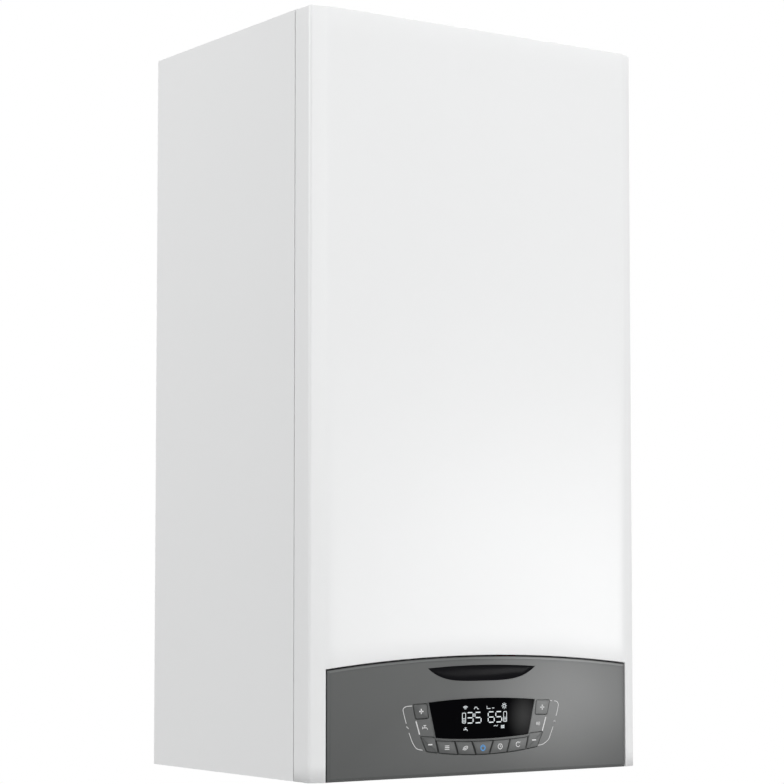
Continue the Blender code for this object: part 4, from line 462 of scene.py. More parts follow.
def softened(corners, radius, steps=5, closed=False):
    # a line of corners with each corner rounded: quadratic curve between the two tangent points
    corners = np.asarray(corners, float)
    before = np.roll(corners, 1, axis=0)
    after = np.roll(corners, -1, axis=0)
    toBefore, toAfter = before - corners, after - corners
    lengthBefore = np.linalg.norm(toBefore, axis=1, keepdims=True)
    lengthAfter = np.linalg.norm(toAfter, axis=1, keepdims=True)
    cutBack = np.minimum(radius, 0.49 * np.minimum(lengthBefore, lengthAfter))
    start = corners + toBefore / np.maximum(lengthBefore, 1e-9) * cutBack
    end = corners + toAfter / np.maximum(lengthAfter, 1e-9) * cutBack
    share = np.linspace(0, 1, steps + 1)[None, :, None]
    curve = (1 - share) ** 2 * start[:, None] + 2 * share * (1 - share) * corners[:, None] + share ** 2 * end[:, None]
    if closed:
        return curve.reshape(-1, corners.shape[1])
    middle = curve[1:-1].reshape(-1, corners.shape[1])
    return np.concatenate([corners[:1], middle, corners[-1:]])


def insetOutline(outline, by):
    # every edge of a closed outline moved inwards by an even distance, corners on the mitre
    outline = np.asarray(outline, float)
    along = np.roll(outline, -1, axis=0) - outline
    along /= np.maximum(np.linalg.norm(along, axis=1, keepdims=True), 1e-9)
    inward = np.stack([-along[:, 1], along[:, 0]], axis=1)
    mitre = inward + np.roll(inward, 1, axis=0)
    mitre /= np.maximum(np.linalg.norm(mitre, axis=1, keepdims=True), 1e-9)
    stretch = 1 / np.maximum(np.sum(mitre * inward, axis=1, keepdims=True), 0.5)
    return outline + mitre * stretch * by


def counterClockwise(outline):
    outline = np.asarray(outline, float)
    x, y = outline.T
    area = np.sum(x * np.roll(y, -1) - np.roll(x, -1) * y)
    return outline if area > 0 else outline[::-1]


def stackedRings(outline, rings, plane="front"):
    # rings: (inset, level) pairs; each ring is the outline moved inwards, at that depth or height; ends closed
    outline = counterClockwise(outline)
    points = np.stack([np.concatenate([insetOutline(outline, inset), np.full((len(outline), 1), level)], axis=1)
                       for inset, level in rings])
    count = len(outline)
    faces = gridFaces(len(rings), count, closeColumns=True)
    faces += [list(range(count)), list(range((len(rings) - 1) * count, len(rings) * count))[::-1]]
    a, b, c = points.reshape(-1, 3).T
    return {"front": world(a, c, b), "plan": world(a, b, c), "side": world(c, a, b)}[plane], faces


def turnedShape(profile, start, turn, steps=64, lobes=0, depth=None, sharp=1.0):
    # (radius, distance) profile swept once round an axis: angle x profile grid, poles welded afterwards;
    # lobes: the radius drops by up to depth, once per lobe, along a cosine of the angle
    profile = np.asarray(profile, float)
    angle = np.linspace(0, 2 * math.pi, steps, endpoint=False)[:, None]
    radius = np.broadcast_to(profile[:, 0][None, :], (steps, len(profile)))
    if lobes:
        wave = (0.5 - 0.5 * np.cos(lobes * angle)) ** sharp
        radius = radius - wave * np.asarray(depth, float)[None, :]
    a, b = radius * np.cos(angle), radius * np.sin(angle)
    c = np.broadcast_to(profile[:, 1][None, :], a.shape)
    x, deep, height = {"up": (a, b, c), "down": (a, b, -c), "front": (a, c, b), "back": (a, -c, b),
                       "right": (c, a, b), "left": (-c, a, b)}[turn]
    return (world(x + start[0], deep + start[1], height + start[2]).reshape(-1, 3),
            gridFaces(steps, len(profile), closeRows=True))


def ringLoop(profile, start, turn, steps):
    # a turned shape with a hole through it: the profile closes on itself
    return turnedShape([*profile, profile[0]], start, turn, steps)


def lobesFrom(profile, first, values):
    # depth of the lobes for each point of a profile: the values from one point on, none elsewhere
    deep = np.zeros(len(profile))
    deep[first:first + len(values)] = values
    return deep


def rolledEdges(profile, radius, steps=3, closed=True):
    # the profile with its corners rounded, so that edges catch the light
    return softened(profile, radius, steps, closed)


def plainRod(start, turn, radius, length, steps=40):
    return turnedShape([(0, 0), (radius, 0), (radius, length), (0, length)], start, turn, steps)


def boxOutline(x, y, radius=0.0, steps=4):
    # four corners between two pairs of limits, rounded if a radius is given
    corners = [(x[0], y[0]), (x[1], y[0]), (x[1], y[1]), (x[0], y[1])]
    return softened(corners, radius, steps, True) if radius else corners


def barOutline(middle, degrees, near, far, half, farHalf=None):
    # a bar that leaves the middle at an angle, from one reach to another
    turn = math.radians(degrees)
    along, across = np.array([math.cos(turn), math.sin(turn)]), np.array([-math.sin(turn), math.cos(turn)])
    farHalf = half if farHalf is None else farHalf
    return [middle + along * reach + across * aside
            for reach, aside in ((near, -half), (far, -farHalf), (far, farHalf), (near, half))]


def turnedOff(low, high, edge, knee, run, between=()):
    # ring list of a block with its two ends turned off: (inset, level) pairs; between: rings of its middle
    return [(edge, low), (knee[0], low + knee[1]), (0, low + run), *between, (0, high - run),
            (knee[0], high - knee[1]), (edge, high)]


def panScrew(place, socket, crown, shoulder, rim, steps=28):
    # turned head with a round socket; each pair is a radius and its height
    profile = [(0, socket[1]), socket, (socket[0], crown), shoulder, rim, (rim[0], 0), (0, 0)]
    return turnedShape(profile, place, "up", steps)


def hexOutline(x, second, radius, rounding, spin=0.0):
    return softened([turnSpot(x, second, radius, 60 * flat + spin) for flat in range(6)], rounding, 3, True)


def hexShape(x, depth, low, radius, tall):
    # six flats with their upper and lower corners turned off
    cut = 0.0008
    rings = [(1.6 * cut, low), (0, low + cut), (0, low + tall - cut), (1.6 * cut, low + tall)]
    return stackedRings(hexOutline(x, depth, radius, 0.0008), rings, "plan")


def bentPath(corners, bend, steps=8):
    # straight runs joined by arcs: each corner gives way to a circular arc between its two tangent points
    corners = np.asarray(corners, float)
    pieces = [corners[:1]]
    for before, corner, after in zip(corners[:-2], corners[1:-1], corners[2:]):
        inward = (before - corner) / np.linalg.norm(before - corner)
        outward = (after - corner) / np.linalg.norm(after - corner)
        half = math.acos(np.clip(inward @ outward, -1, 1)) / 2
        room = 0.49 * min(np.linalg.norm(before - corner), np.linalg.norm(after - corner))
        reach = min(bend / math.tan(half), room)
        radius = reach * math.tan(half)
        middle = corner + (inward + outward) / np.linalg.norm(inward + outward) * radius / math.sin(half)
        first = corner + inward * reach - middle
        last = corner + outward * reach - middle
        sweep = math.pi - 2 * half
        share = np.linspace(0, 1, steps + 1)[:, None]
        arc = (np.sin((1 - share) * sweep) * first + np.sin(share * sweep) * last) / math.sin(sweep)
        pieces.append(middle + arc)
    pieces.append(corners[-1:])
    return np.concatenate(pieces)


def tubeShape(path, radius, sides=28, wall=0.0):
    # circle carried along a path of (side, depth, height) points, its frame turned without twist; with a wall
    # the same path is walked back inside
    path = np.asarray(path, float)
    along = np.gradient(path, axis=0)
    along /= np.linalg.norm(along, axis=1, keepdims=True)
    normal = np.cross(along[0], (0.31, 0.84, 0.45))
    frames = []
    for direction in along:
        normal = normal - (normal @ direction) * direction
        normal /= np.linalg.norm(normal)
        frames.append(normal)
    normals = np.array(frames)
    binormals = np.cross(along, normals)
    radius = np.broadcast_to(np.asarray(radius, float), (len(path),))
    if wall:
        path, normals, binormals = (np.concatenate([part, part[::-1]]) for part in (path, normals, binormals))
        radius = np.concatenate([radius, radius[::-1] - wall])
    angle = np.linspace(0, 2 * math.pi, sides, endpoint=False)[None, :, None]
    radius = radius[:, None, None]
    ring = path[:, None] + radius * (np.cos(angle) * normals[:, None] + np.sin(angle) * binormals[:, None])
    faces = gridFaces(len(path), sides, closeRows=bool(wall), closeColumns=True)
    if not wall:
        faces += [list(range(sides)), list(range((len(path) - 1) * sides, len(path) * sides))]
    x, depth, height = ring.reshape(-1, 3).T
    return world(x, depth, height), faces


def strokeShape(line, wide, low, high, loop=False):
    # flat ribbon: each (side, height) point is moved half a width to both sides of the line, at two depths
    line = np.asarray(line, float)
    if loop:
        along = np.roll(line, -1, axis=0) - np.roll(line, 1, axis=0)
    else:
        along = np.gradient(line, axis=0)
    along /= np.maximum(np.linalg.norm(along, axis=1, keepdims=True), 1e-9)
    aside = np.stack([-along[:, 1], along[:, 0]], axis=1) * wide / 2
    points = np.stack([np.concatenate([line + side * aside, np.full((len(line), 1), level)], axis=1)
                       for side, level in ((1, low), (1, high), (-1, high), (-1, low))], axis=1)
    faces = gridFaces(len(line), 4, closeRows=loop, closeColumns=True)
    if not loop:
        end = (len(line) - 1) * 4
        faces += [[0, 1, 2, 3], [end, end + 1, end + 2, end + 3]]
    x, height, depth = points.reshape(-1, 3).T
    return world(x, depth, height), faces


def turnSpot(x, height, reach, degrees):
    turn = math.radians(degrees)
    return x + reach * math.cos(turn), height + reach * math.sin(turn)


def arcLine(x, height, radius, first, last, steps=14):
    turn = np.radians(np.linspace(first, last, steps + 1))
    return np.stack([x + radius * np.cos(turn), height + radius * np.sin(turn)], axis=1)


# ---- front cover

cover = dict(back=0.282, chamferWide=0.016, chamferDeep=0.0063, sheet=0.0009, flange=0.012, bend=0.0030,
             topRoll=0.0012, edgeRoll=0.0008, rimDeep=0.008, hemBend=0.0012)
fascia = dict(half=0.1827, endHeight=0.1056, rise=0.0106, gap=0.0014)


def archHeight(x, outwards):
    # the fascia's arch, a circle through its two ends and its middle, moved outwards
    half, rise = fascia["half"], fascia["rise"]
    radius = (half ** 2 + rise ** 2) / (2 * rise)
    return fascia["endHeight"] + rise - radius + np.sqrt((radius + outwards) ** 2 - np.square(x))


def makeFrontCover():
    # one sheet: a plan line with softened bends, drawn up from the foot or the arch and rolled into the top
    back, side, front = cover["back"], halfWidth, frontDepth
    lowBend, bevel = front - cover["chamferDeep"], side - cover["chamferWide"]
    wide = fascia["half"] + fascia["gap"] + cover["edgeRoll"]
    hem = softened([(cover["flange"] - side, back), (-side, back), (-side, lowBend)], cover["hemBend"], 4)[:-1]
    bends = softened([(-side, back), (-side, lowBend), (-bevel, front), (0, front)], cover["bend"], 6)[1:-1]
    edgeDepth = float(np.interp(-wide, bends[:, 0], bends[:, 1]))
    strip = np.concatenate([hem, bends[bends[:, 0] < -wide - 1e-5], [(-wide, edgeDepth)]])
    across = np.linspace(-wide, wide, 65)
    centreDepth = np.interp(-np.abs(across), bends[-7:, 0], bends[-7:, 1], right=front)
    centre = np.stack([across, centreDepth], axis=1)
    line = np.concatenate([strip[:-1], centre, strip[-2::-1] * (-1, 1)])
    corner = float(archHeight(wide, wide - fascia["half"]))
    start = caseHeight - cover["topRoll"]
    lowRows = np.linspace(0, corner, 8)[:, None]

    # above the notch: skin rows, a quarter circle into the top, the top plate and its hanging hem
    foot = np.full(len(line), corner)
    foot[len(strip) - 1:len(strip) - 1 + len(across)] = archHeight(across, wide - fascia["half"])
    rows = [world(line[:, 0], line[:, 1], foot + share * (start - foot)) for share in np.linspace(0, 1, 30)]
    outward = np.gradient(line, axis=0)
    outward = np.stack([-outward[:, 1], outward[:, 0]], axis=1)
    outward /= np.maximum(np.linalg.norm(outward, axis=1, keepdims=True), 1e-9)
    for turn in np.radians((22.5, 45, 67.5, 90)):
        moved = line - outward * cover["topRoll"] * (1 - math.cos(turn))
        rows.append(world(moved[:, 0], np.maximum(moved[:, 1], back), start + cover["topRoll"] * math.sin(turn)))
    rows += [world(moved[:, 0], back, level) for level in (caseHeight, caseHeight - cover["flange"])]
    parts = [(np.stack(rows), gridFaces(len(rows), len(line)))]

    # beside the notch: the two strips that reach the foot
    for edge in (strip, strip[::-1] * (-1, 1)):
        grid = world(edge[None, :, 0], edge[None, :, 1], lowRows)
        parts.append((grid, gridFaces(*grid.shape[:2])))

    # rim of the notch: up one side, over the arch and down, rolled backwards
    rows = []
    sideRows, ends = lowRows[:-1, 0] / corner, np.full(len(lowRows) - 1, edgeDepth)
    depthLine = np.concatenate([ends, centreDepth, ends])
    for turn in np.radians((0, 30, 60, 90)):
        outwards = fascia["gap"] + cover["edgeRoll"] * (1 - math.sin(turn))
        reach = fascia["half"] + outwards
        top = float(archHeight(reach, outwards))
        x = np.concatenate([ends * 0 - reach, across * reach / wide, ends * 0 + reach])
        height = np.concatenate([sideRows * top, archHeight(across * reach / wide, outwards), sideRows[::-1] * top])
        rows.append(world(x, depthLine - cover["edgeRoll"] * (1 - math.cos(turn)), height))
    rows.append(world(x, front - cover["rimDeep"], height))
    parts.append((np.stack(rows), gridFaces(len(rows), len(x))))
    piece = addPiece("frontCover", parts, "white_enamel", "front_cover", body="front_cover", crisp=50, welded=2e-5)
    wall = piece.modifiers.new("sheet", "SOLIDIFY")
    wall.thickness = cover["sheet"]
    wall.offset = -1.0


def makeCoverFixings():
    # two screwed feet below and two tabs above, which hang on the top panel's pins
    parts = []
    for side in (-1, 1):
        x = side * (halfWidth - 0.0095)
        plate = [(side * 0.1985, 0.2735), (side * 0.1985, 0.3080), (side * 0.1852, 0.3132), (side * 0.1852, 0.2735)]
        parts.append(stackedRings(plate, [(0, 0.0030), (0, 0.0040)], "plan"))
        head = [(0, 0), (0.0024, 0), (0.0036, 0.0006), (0.0038, 0.0018), (0.0020, 0.0018), (0.0020, 0.0100),
                (0, 0.0100)]
        parts.append(turnedShape(head, (x, 0.2714, 0.0012), "up", 28))
        tab = [(side * 0.138, 0.7110), (side * 0.162, 0.7110), (side * 0.162, 0.7330), (side * 0.138, 0.7330)]
        parts.append(stackedRings(softened(tab, 0.003, 3, True), [(0, 0.2821), (0, 0.2829)]))
    addPiece("coverFixings", parts, "white_enamel", body="front_cover", finish=finishes["zinc_sheet"])


makeFrontCover()
makeCoverFixings()
print("cover ready")


# ---- control fascia: arched panel, keys, display, lens-shaped insert and printed marks

face = dict(rimBack=0.303, plateBack=0.3125, wall=0.002, front=frontDepth, keyGap=0.0007, displayGap=0.0004,
            lensGap=0.0002)
display = dict(lowHalf=0.0567, highHalf=0.0649, low=0.0380, high=0.0720, drop=0.0025, rise=0.0028,
               back=0.3108, front=0.3147)
lens = dict(half=0.06575, tips=0.1055, sag=0.0131, rise=0.0023, back=0.3142, front=0.3153)
keys = dict(back=0.2991, lipBack=0.3108, lipFront=0.3122, lip=0.0005, front=0.31555, stem=0.0032, rounding=0.0016)
row = dict(topHalf=0.0559, footHalf=0.0529, top=0.0326, foot=0.0200, topRise=0.0022, footRise=0.0031, split=0.0016,
           cuts=((-1.0, -1.0), (-0.61, -0.569), (-0.234, -0.153), (0.234, 0.153), (0.61, 0.569), (1.0, 1.0)),
           names=("menu_key", "eco_key", "power_key", "timer_key", "reset_key"))
cornerKeys = dict(plus=((0.0657, 0.0574), (0.0808, 0.0569), (0.0840, 0.0709), (0.0675, 0.0712)),
                  minus=((0.0544, 0.0233), (0.0680, 0.0251), (0.0750, 0.0397), (0.0584, 0.0384)))



def archOutline(outwards, low, steps=64):
    # foot corners, then the arch from right to left
    wide = fascia["half"] + outwards
    x = np.linspace(wide, -wide, steps + 1)
    arch = np.stack([x, archHeight(x, outwards)], axis=1)
    return np.concatenate([[(-wide, low), (wide, low)], arch])


def displayOutline(steps=20):
    across = np.linspace(-1, 1, steps + 1)
    bow = 1 - across ** 2
    lower = np.stack([across * display["lowHalf"], display["low"] - display["drop"] * bow], axis=1)
    upper = np.stack([-across * display["highHalf"], display["high"] + display["rise"] * bow], axis=1)
    return np.concatenate([lower, upper])


def lensOutline(steps=36):
    # lower edge falls with the fourth power of the distance from the middle, upper edge with its square
    across = np.linspace(-1, 1, steps + 1)
    lower = np.stack([across * lens["half"], lens["tips"] - lens["sag"] * (1 - across ** 4)], axis=1)
    upper = np.stack([-across * lens["half"], lens["tips"] + lens["rise"] * (1 - across ** 2)], axis=1)
    return np.concatenate([lower, upper[1:-1]])


def rowKeyOutline(index, steps=6):
    (topLeft, footLeft), (topRight, footRight) = row["cuts"][index], row["cuts"][index + 1]
    leftTrim = row["split"] / 2 if index else 0.0
    rightTrim = row["split"] / 2 if index < len(row["names"]) - 1 else 0.0
    share = np.linspace(0, 1, steps + 1)
    inset = leftTrim * (1 - share) - rightTrim * share
    footAcross = footLeft + (footRight - footLeft) * share
    topAcross = topLeft + (topRight - topLeft) * share
    foot = np.stack([footAcross * row["footHalf"] + inset, row["foot"] + row["footRise"] * footAcross ** 2], axis=1)
    top = np.stack([topAcross * row["topHalf"] + inset, row["top"] + row["topRise"] * topAcross ** 2], axis=1)
    return np.concatenate([foot, top[::-1]])


def keyOutlines():
    outlines = {}
    for kind, corners in cornerKeys.items():
        for side, word in ((-1, "left"), (1, "right")):
            outlines[f"{word}_{kind}_key"] = softened([(side * x, h) for x, h in corners], keys["rounding"], 5, True)
    for index, name in enumerate(row["names"]):
        outlines[name] = rowKeyOutline(index)
    return outlines


def carved(piece, openings, crisp=32.0):
    # the openings' closed shapes are cut out of the piece once, and the cutter goes
    points, faces = joined(openings)
    mesh = bpy.data.meshes.new("openings")
    mesh.from_pydata(points.tolist(), [], faces)
    shape = bmesh.new()
    shape.from_mesh(mesh)
    bmesh.ops.recalc_face_normals(shape, faces=shape.faces)
    shape.to_mesh(mesh)
    shape.free()
    cutter = linked("openings", mesh)
    cut = piece.modifiers.new("openings", "BOOLEAN")
    cut.operation, cut.solver, cut.object = "DIFFERENCE", "EXACT", cutter
    bpy.context.view_layer.update()
    whole = bpy.data.meshes.new_from_object(piece.evaluated_get(bpy.context.evaluated_depsgraph_get()))
    piece.modifiers.remove(cut)
    piece.data = whole
    whole.shade_smooth()
    whole.set_sharp_from_angle(angle=math.radians(crisp))
    bpy.data.objects.remove(cutter)
    bpy.data.meshes.remove(mesh)


def makeFascia():
    # arched panel with a bevel round its face, hollow behind, cut for keys, display and insert
    front, back = face["front"], face["rimBack"]
    rings = [(face["wall"], face["plateBack"]), (face["wall"], back), (0, back), (0, front - 0.0016),
             (0.0002, front - 0.0011), (0.0026, front - 0.0003), (0.0031, front - 0.00005), (0.0036, front)]
    panel = addPiece("fasciaPanel", [stackedRings(archOutline(0, 0), rings)], "grey_fascia", "control_fascia",
                     body="control_box", crisp=25)
    through = face["plateBack"] - 0.001, front + 0.001
    holes = [(displayOutline(), face["displayGap"], through[0]), (lensOutline(), face["lensGap"], lens["back"])]
    holes += [(outline, face["keyGap"], through[0]) for outline in keyOutlines().values()]
    carved(panel, [stackedRings(outline, [(-gap, start), (-gap, through[1])]) for outline, gap, start in holes],
           crisp=25)

    # painted highlight on the bevel under the arch: a thin ribbon in a lighter copy of the satin, laid on its slope,
    # as inset and depth from the face
    rows = []
    for inset, level in ((0.0007, -0.00087), (0.0026, -0.00024), (0.0026, -0.0007), (0.0007, -0.0013)):
        x = np.linspace(inset - fascia["half"], fascia["half"] - inset, 97)
        rows.append(world(x, front + level, archHeight(x, -inset)))
    faces = gridFaces(4, 97, closeRows=True) + [[0, 97, 194, 291], [96, 193, 290, 387]]
    addPiece("fasciaBevelHighlight", [(np.concatenate(rows), faces)], "grey_fascia", body="control_box", finish=paintedHighlightSatin,
             crisp=50)


def makeKeys():
    # cap with rolled edges over its lip and stem; two corner kinds and the fan-shaped row
    front = keys["front"]
    rings = [(-keys["lip"], keys["lipBack"]), (-keys["lip"], keys["lipFront"]), (0, keys["lipFront"] + 0.0001),
             (0, front - 0.0008), (0.0001, front - 0.00045), (0.0004, front - 0.00015), (0.0009, front)]
    for name, outline in keyOutlines().items():
        x, height = outline.mean(axis=0)
        stem = plainRod((x, keys["back"], height), "front", keys["stem"], keys["lipBack"] - keys["back"] + 0.0002, 20)
        addPiece(camelName(name), [stackedRings(outline, rings), stem], "grey_fascia", name, body=name, crisp=38)


def makeDisplay():
    # glass pane with its lip behind the fascia, a fine moulded rim round it, and the insert above
    pane = [(-0.0006, display["back"]), (-0.0006, display["back"] + 0.0012), (0.0, display["back"] + 0.0013),
            (0.0, display["front"] - 0.0002), (0.0003, display["front"])]
    addPiece("displayPane", [stackedRings(displayOutline(), pane)], "dark_glass", "display_window",
             body="control_box", finish=displayGlass, crisp=30)

    outline = counterClockwise(displayOutline())
    section = ((-0.0004, -0.0003), (-0.0005, 0.00018), (-0.0009, 0.00030), (-0.0014, 0.00018), (-0.0016, -0.0003))
    rim = []
    for inset, lift in section:
        x, height = insetOutline(outline, inset).T
        rim.append(world(x, face["front"] + lift, height))
    addPiece("displayRim", [(np.concatenate(rim), gridFaces(len(section), len(outline), True, True))], "grey_fascia",
             body="control_box", crisp=50)

    crown = [(0, lens["back"]), (0, lens["front"] - 0.0005), (0.0002, lens["front"] - 0.0002),
             (0.0008, lens["front"])]
    addPiece("lensInsert", [stackedRings(lensOutline(), crown)], "dark_glass", "badge_insert", body="control_box",
             crisp=30)


signs = dict(
    tap=[[(-0.9, -0.1), (0.35, -0.1), (0.6, -0.35), (0.6, -0.6)], [(-0.2, -0.1), (-0.2, 0.45)],
         [(-0.6, 0.5), (0.2, 0.5)], [(-0.9, 0.2), (-0.9, -0.4)]],
    radiator=[[(step, -0.55), (step, 0.55)] for step in (-0.6, -0.2, 0.2, 0.6)]
    + [[(-0.75, level), (0.75, level)] for level in (-0.42, 0.42)],
)


def signAt(strokes, middle, size):
    # strokes in units of the sign's half size, put in their place; a stroke is a line or a (line, loop) pair
    pairs = [stroke if isinstance(stroke, tuple) else (stroke, False) for stroke in strokes]
    return [(np.asarray(middle) + size * np.asarray(line, float), loop) for line, loop in pairs]


def digitMark(digit, x, low, wide, tall):
    # seven bars: a top, b and c right, d foot, e and f left, g middle
    lit = {"3": "abcdg", "5": "acdfg", "6": "acdefg"}[digit]
    gap, middle, right, top = 0.12 * wide, low + tall / 2, x + wide, low + tall
    bars = {bar: ((x + gap, level), (right - gap, level)) for bar, level in (("a", top), ("g", middle), ("d", low))}
    for bar, side, foot, head in (("b", right, middle, top), ("c", right, low, middle), ("e", x, low, middle),
                                  ("f", x, middle, top)):
        bars[bar] = ((side, foot + gap), (side, head - gap))
    return [np.array(bars[bar]) for bar in lit]


def penned(name, strokes, wide, high, finish=None, body="control_box"):
    # raised print: every stroke is a ribbon from inside the panel up to just over its face
    pairs = [stroke if isinstance(stroke, tuple) else (np.array(stroke), False) for stroke in strokes]
    ribbons = [strokeShape(line, wide, marks["base"], high, loop) for line, loop in pairs]
    addPiece(name, ribbons, "grey_fascia", body=body, finish=finish or printWhite, welded=1e-8)


marks = dict(line=0.0007, fine=0.0006, bold=0.0012, base=0.3146, panelTop=0.31512, keyTop=0.3156, glassTop=0.3149,
             keyIcon=0.0040)


def makePanelMarks():
    # two printed brackets beside the keys, each broken by a small sign, and the signs between the corner keys
    leftArc = [(-0.0851, 0.0697), (-0.0924, 0.0694), (-0.0962, 0.0672), (-0.0943, 0.0600), (-0.0920, 0.0529)]
    leftFoot = [(-0.0888, 0.0438), (-0.0845, 0.0336), (-0.0797, 0.0276), (-0.0727, 0.0266)]
    rightArc = [(0.0900, 0.0700), (0.0929, 0.0697), (0.0958, 0.0672), (0.0942, 0.0600), (0.0924, 0.0549)]
    rightFoot = [(0.0886, 0.0442), (0.0845, 0.0350), (0.0830, 0.0316), (0.0757, 0.0267), (0.0691, 0.0262)]
    strokes = [softened(line, bend) for line, bend in ((leftArc, 0.004), (leftFoot, 0.004), (rightArc, 0.003),
                                                       (rightFoot, 0.004))]
    strokes += [[(-0.0918, 0.0500), (-0.0892, 0.0478)], [(0.0850, 0.0704), (0.0874, 0.0702)]]
    strokes += signAt(signs["radiator"], (0.0902, 0.0496), 0.0018)
    penned("panelMarks", strokes, marks["fine"], marks["panelTop"])
    bars = [[(-0.0805, 0.0547), (-0.0762, 0.0418)], [(0.0793, 0.0542), (0.0748, 0.0405)]]
    penned("levelBars", bars, marks["bold"], marks["panelTop"])
    uses = signAt(signs["tap"], (-0.0692, 0.0484), 0.0038) + signAt(signs["radiator"], (0.0694, 0.0480), 0.0034)
    penned("useSigns", uses, marks["line"], marks["panelTop"])


def keyMarks():
    # per key: strokes about the key's middle, in units of the sign's half size
    leaf = np.radians(np.linspace(0, 360, 21))[:-1]
    return {
        "plus": [[(-0.75, 0), (0.75, 0)], [(0, -0.75), (0, 0.75)]],
        "minus": [[(-0.75, 0), (0.75, 0)]],
        "menu_key": [[(-0.9, level), (0.9, level)] for level in (-0.55, 0.0, 0.55)],
        "eco_key": [(np.stack([0.9 * np.cos(leaf), 0.55 * np.sin(leaf) + 0.25 * np.cos(leaf)], axis=1), True),
                    [(-1.2, -0.5), (0.5, 0.15)]],
        "power_key": [arcLine(0, -0.05, 0.85, 118, 422, 24), [(0, 0.2), (0, 1.05)]],
        "timer_key": [(arcLine(0, 0, 0.85, 0, 360, 28)[:-1], True), [(0, 0.5), (0, 0), (0.4, -0.2)]],
        "reset_key": [arcLine(0, 0, 0.8, 30, 330, 24), [(0.25, 0.55), (0.72, 0.42), (0.85, 0.95)]],
    }


def makeKeyMarks():
    known = keyMarks()
    for name, outline in keyOutlines().items():
        kind = "plus" if "plus" in name else "minus" if "minus" in name else name
        size = marks["keyIcon"] * (0.85 if kind in ("plus", "minus") else 0.75)
        wide = marks["bold"] if kind in ("plus", "minus", "power_key") else marks["line"]
        penned(camelName(name.replace("_key", "_sign")), signAt(known[kind], outline.mean(axis=0), size), wide,
               marks["keyTop"], printBlue if name == "power_key" else printWhite, name)


def makeReadout():
    # lit figures and signs on the glass: two temperatures, tank levels, and what is running
    strokes = []
    for digit, x in (("3", -0.0189), ("5", -0.0092), ("6", 0.0071), ("5", 0.0165)):
        strokes += digitMark(digit, x, 0.0510, 0.0074, 0.0102)
    penned("figures", strokes, 0.0010, marks["glassTop"], readoutGlow)

    fine = []
    for x, wide in ((-0.0246, 0.0040), (0.0262, 0.0038)):
        fine.append((boxOutline((x, x + wide), (0.0512, 0.0610), 0.0008, 3), True))
        fine += [[(x + 0.0009, level), (x + wide - 0.0009, level)] for level in (0.0526, 0.0540, 0.0554)]
    fine += [arcLine(-0.0208, 0.0640, radius, 45, 135, 8) for radius in (0.0012, 0.0024, 0.0036)]
    fine += [[(-0.0100, 0.0645), (-0.0088, 0.0665), (-0.0070, 0.0665), (-0.0060, 0.0645), (-0.0044, 0.0645)],
             [(0.0056, 0.0672), (0.0056, 0.0646), (0.0100, 0.0646)], [(0.0118, 0.0650), (0.0146, 0.0650)]]
    sun = (0.0270, 0.0668)
    fine.append((arcLine(*sun, 0.0015, 0, 340, 16), True))
    fine += [[turnSpot(*sun, reach, ray) for reach in (0.0022, 0.0031)] for ray in range(0, 360, 45)]
    fine += signAt(signs["tap"], (-0.0202, 0.0450), 0.0028) + signAt(signs["radiator"], (0.0250, 0.0462), 0.0028)
    fine.append([(0.0140, 0.0470), (0.0156, 0.0478), (0.0172, 0.0470), (0.0188, 0.0478)])
    penned("readoutSigns", fine, marks["fine"], marks["glassTop"], readoutGlow)


makeFascia()
makeKeys()
makeDisplay()
makePanelMarks()
makeKeyMarks()
makeReadout()
print("fascia, keys and display ready")


# ---- flue collar, air inlet and the pipe ends under the casing

flue = dict(depth=0.150, seat=caseHeight + 0.0003, top=0.7633, radius=0.030, wall=0.003, ductTop=0.761,
            collar=0.0505, collarWall=0.0025, flange=0.066, bend=0.036, side=-0.040, foot=0.6603)
inlet = dict(x=0.128, radius=0.040, rim=0.006)
ends = dict(foot=0.003, depth=0.070, pitch=0.067, heating=0.0132, water=0.0105, wall=0.003, top=0.0597,
            plate=0.0393, thread=0.0015, threadDeep=0.0009, threadTop=0.025, hexTall=0.009)


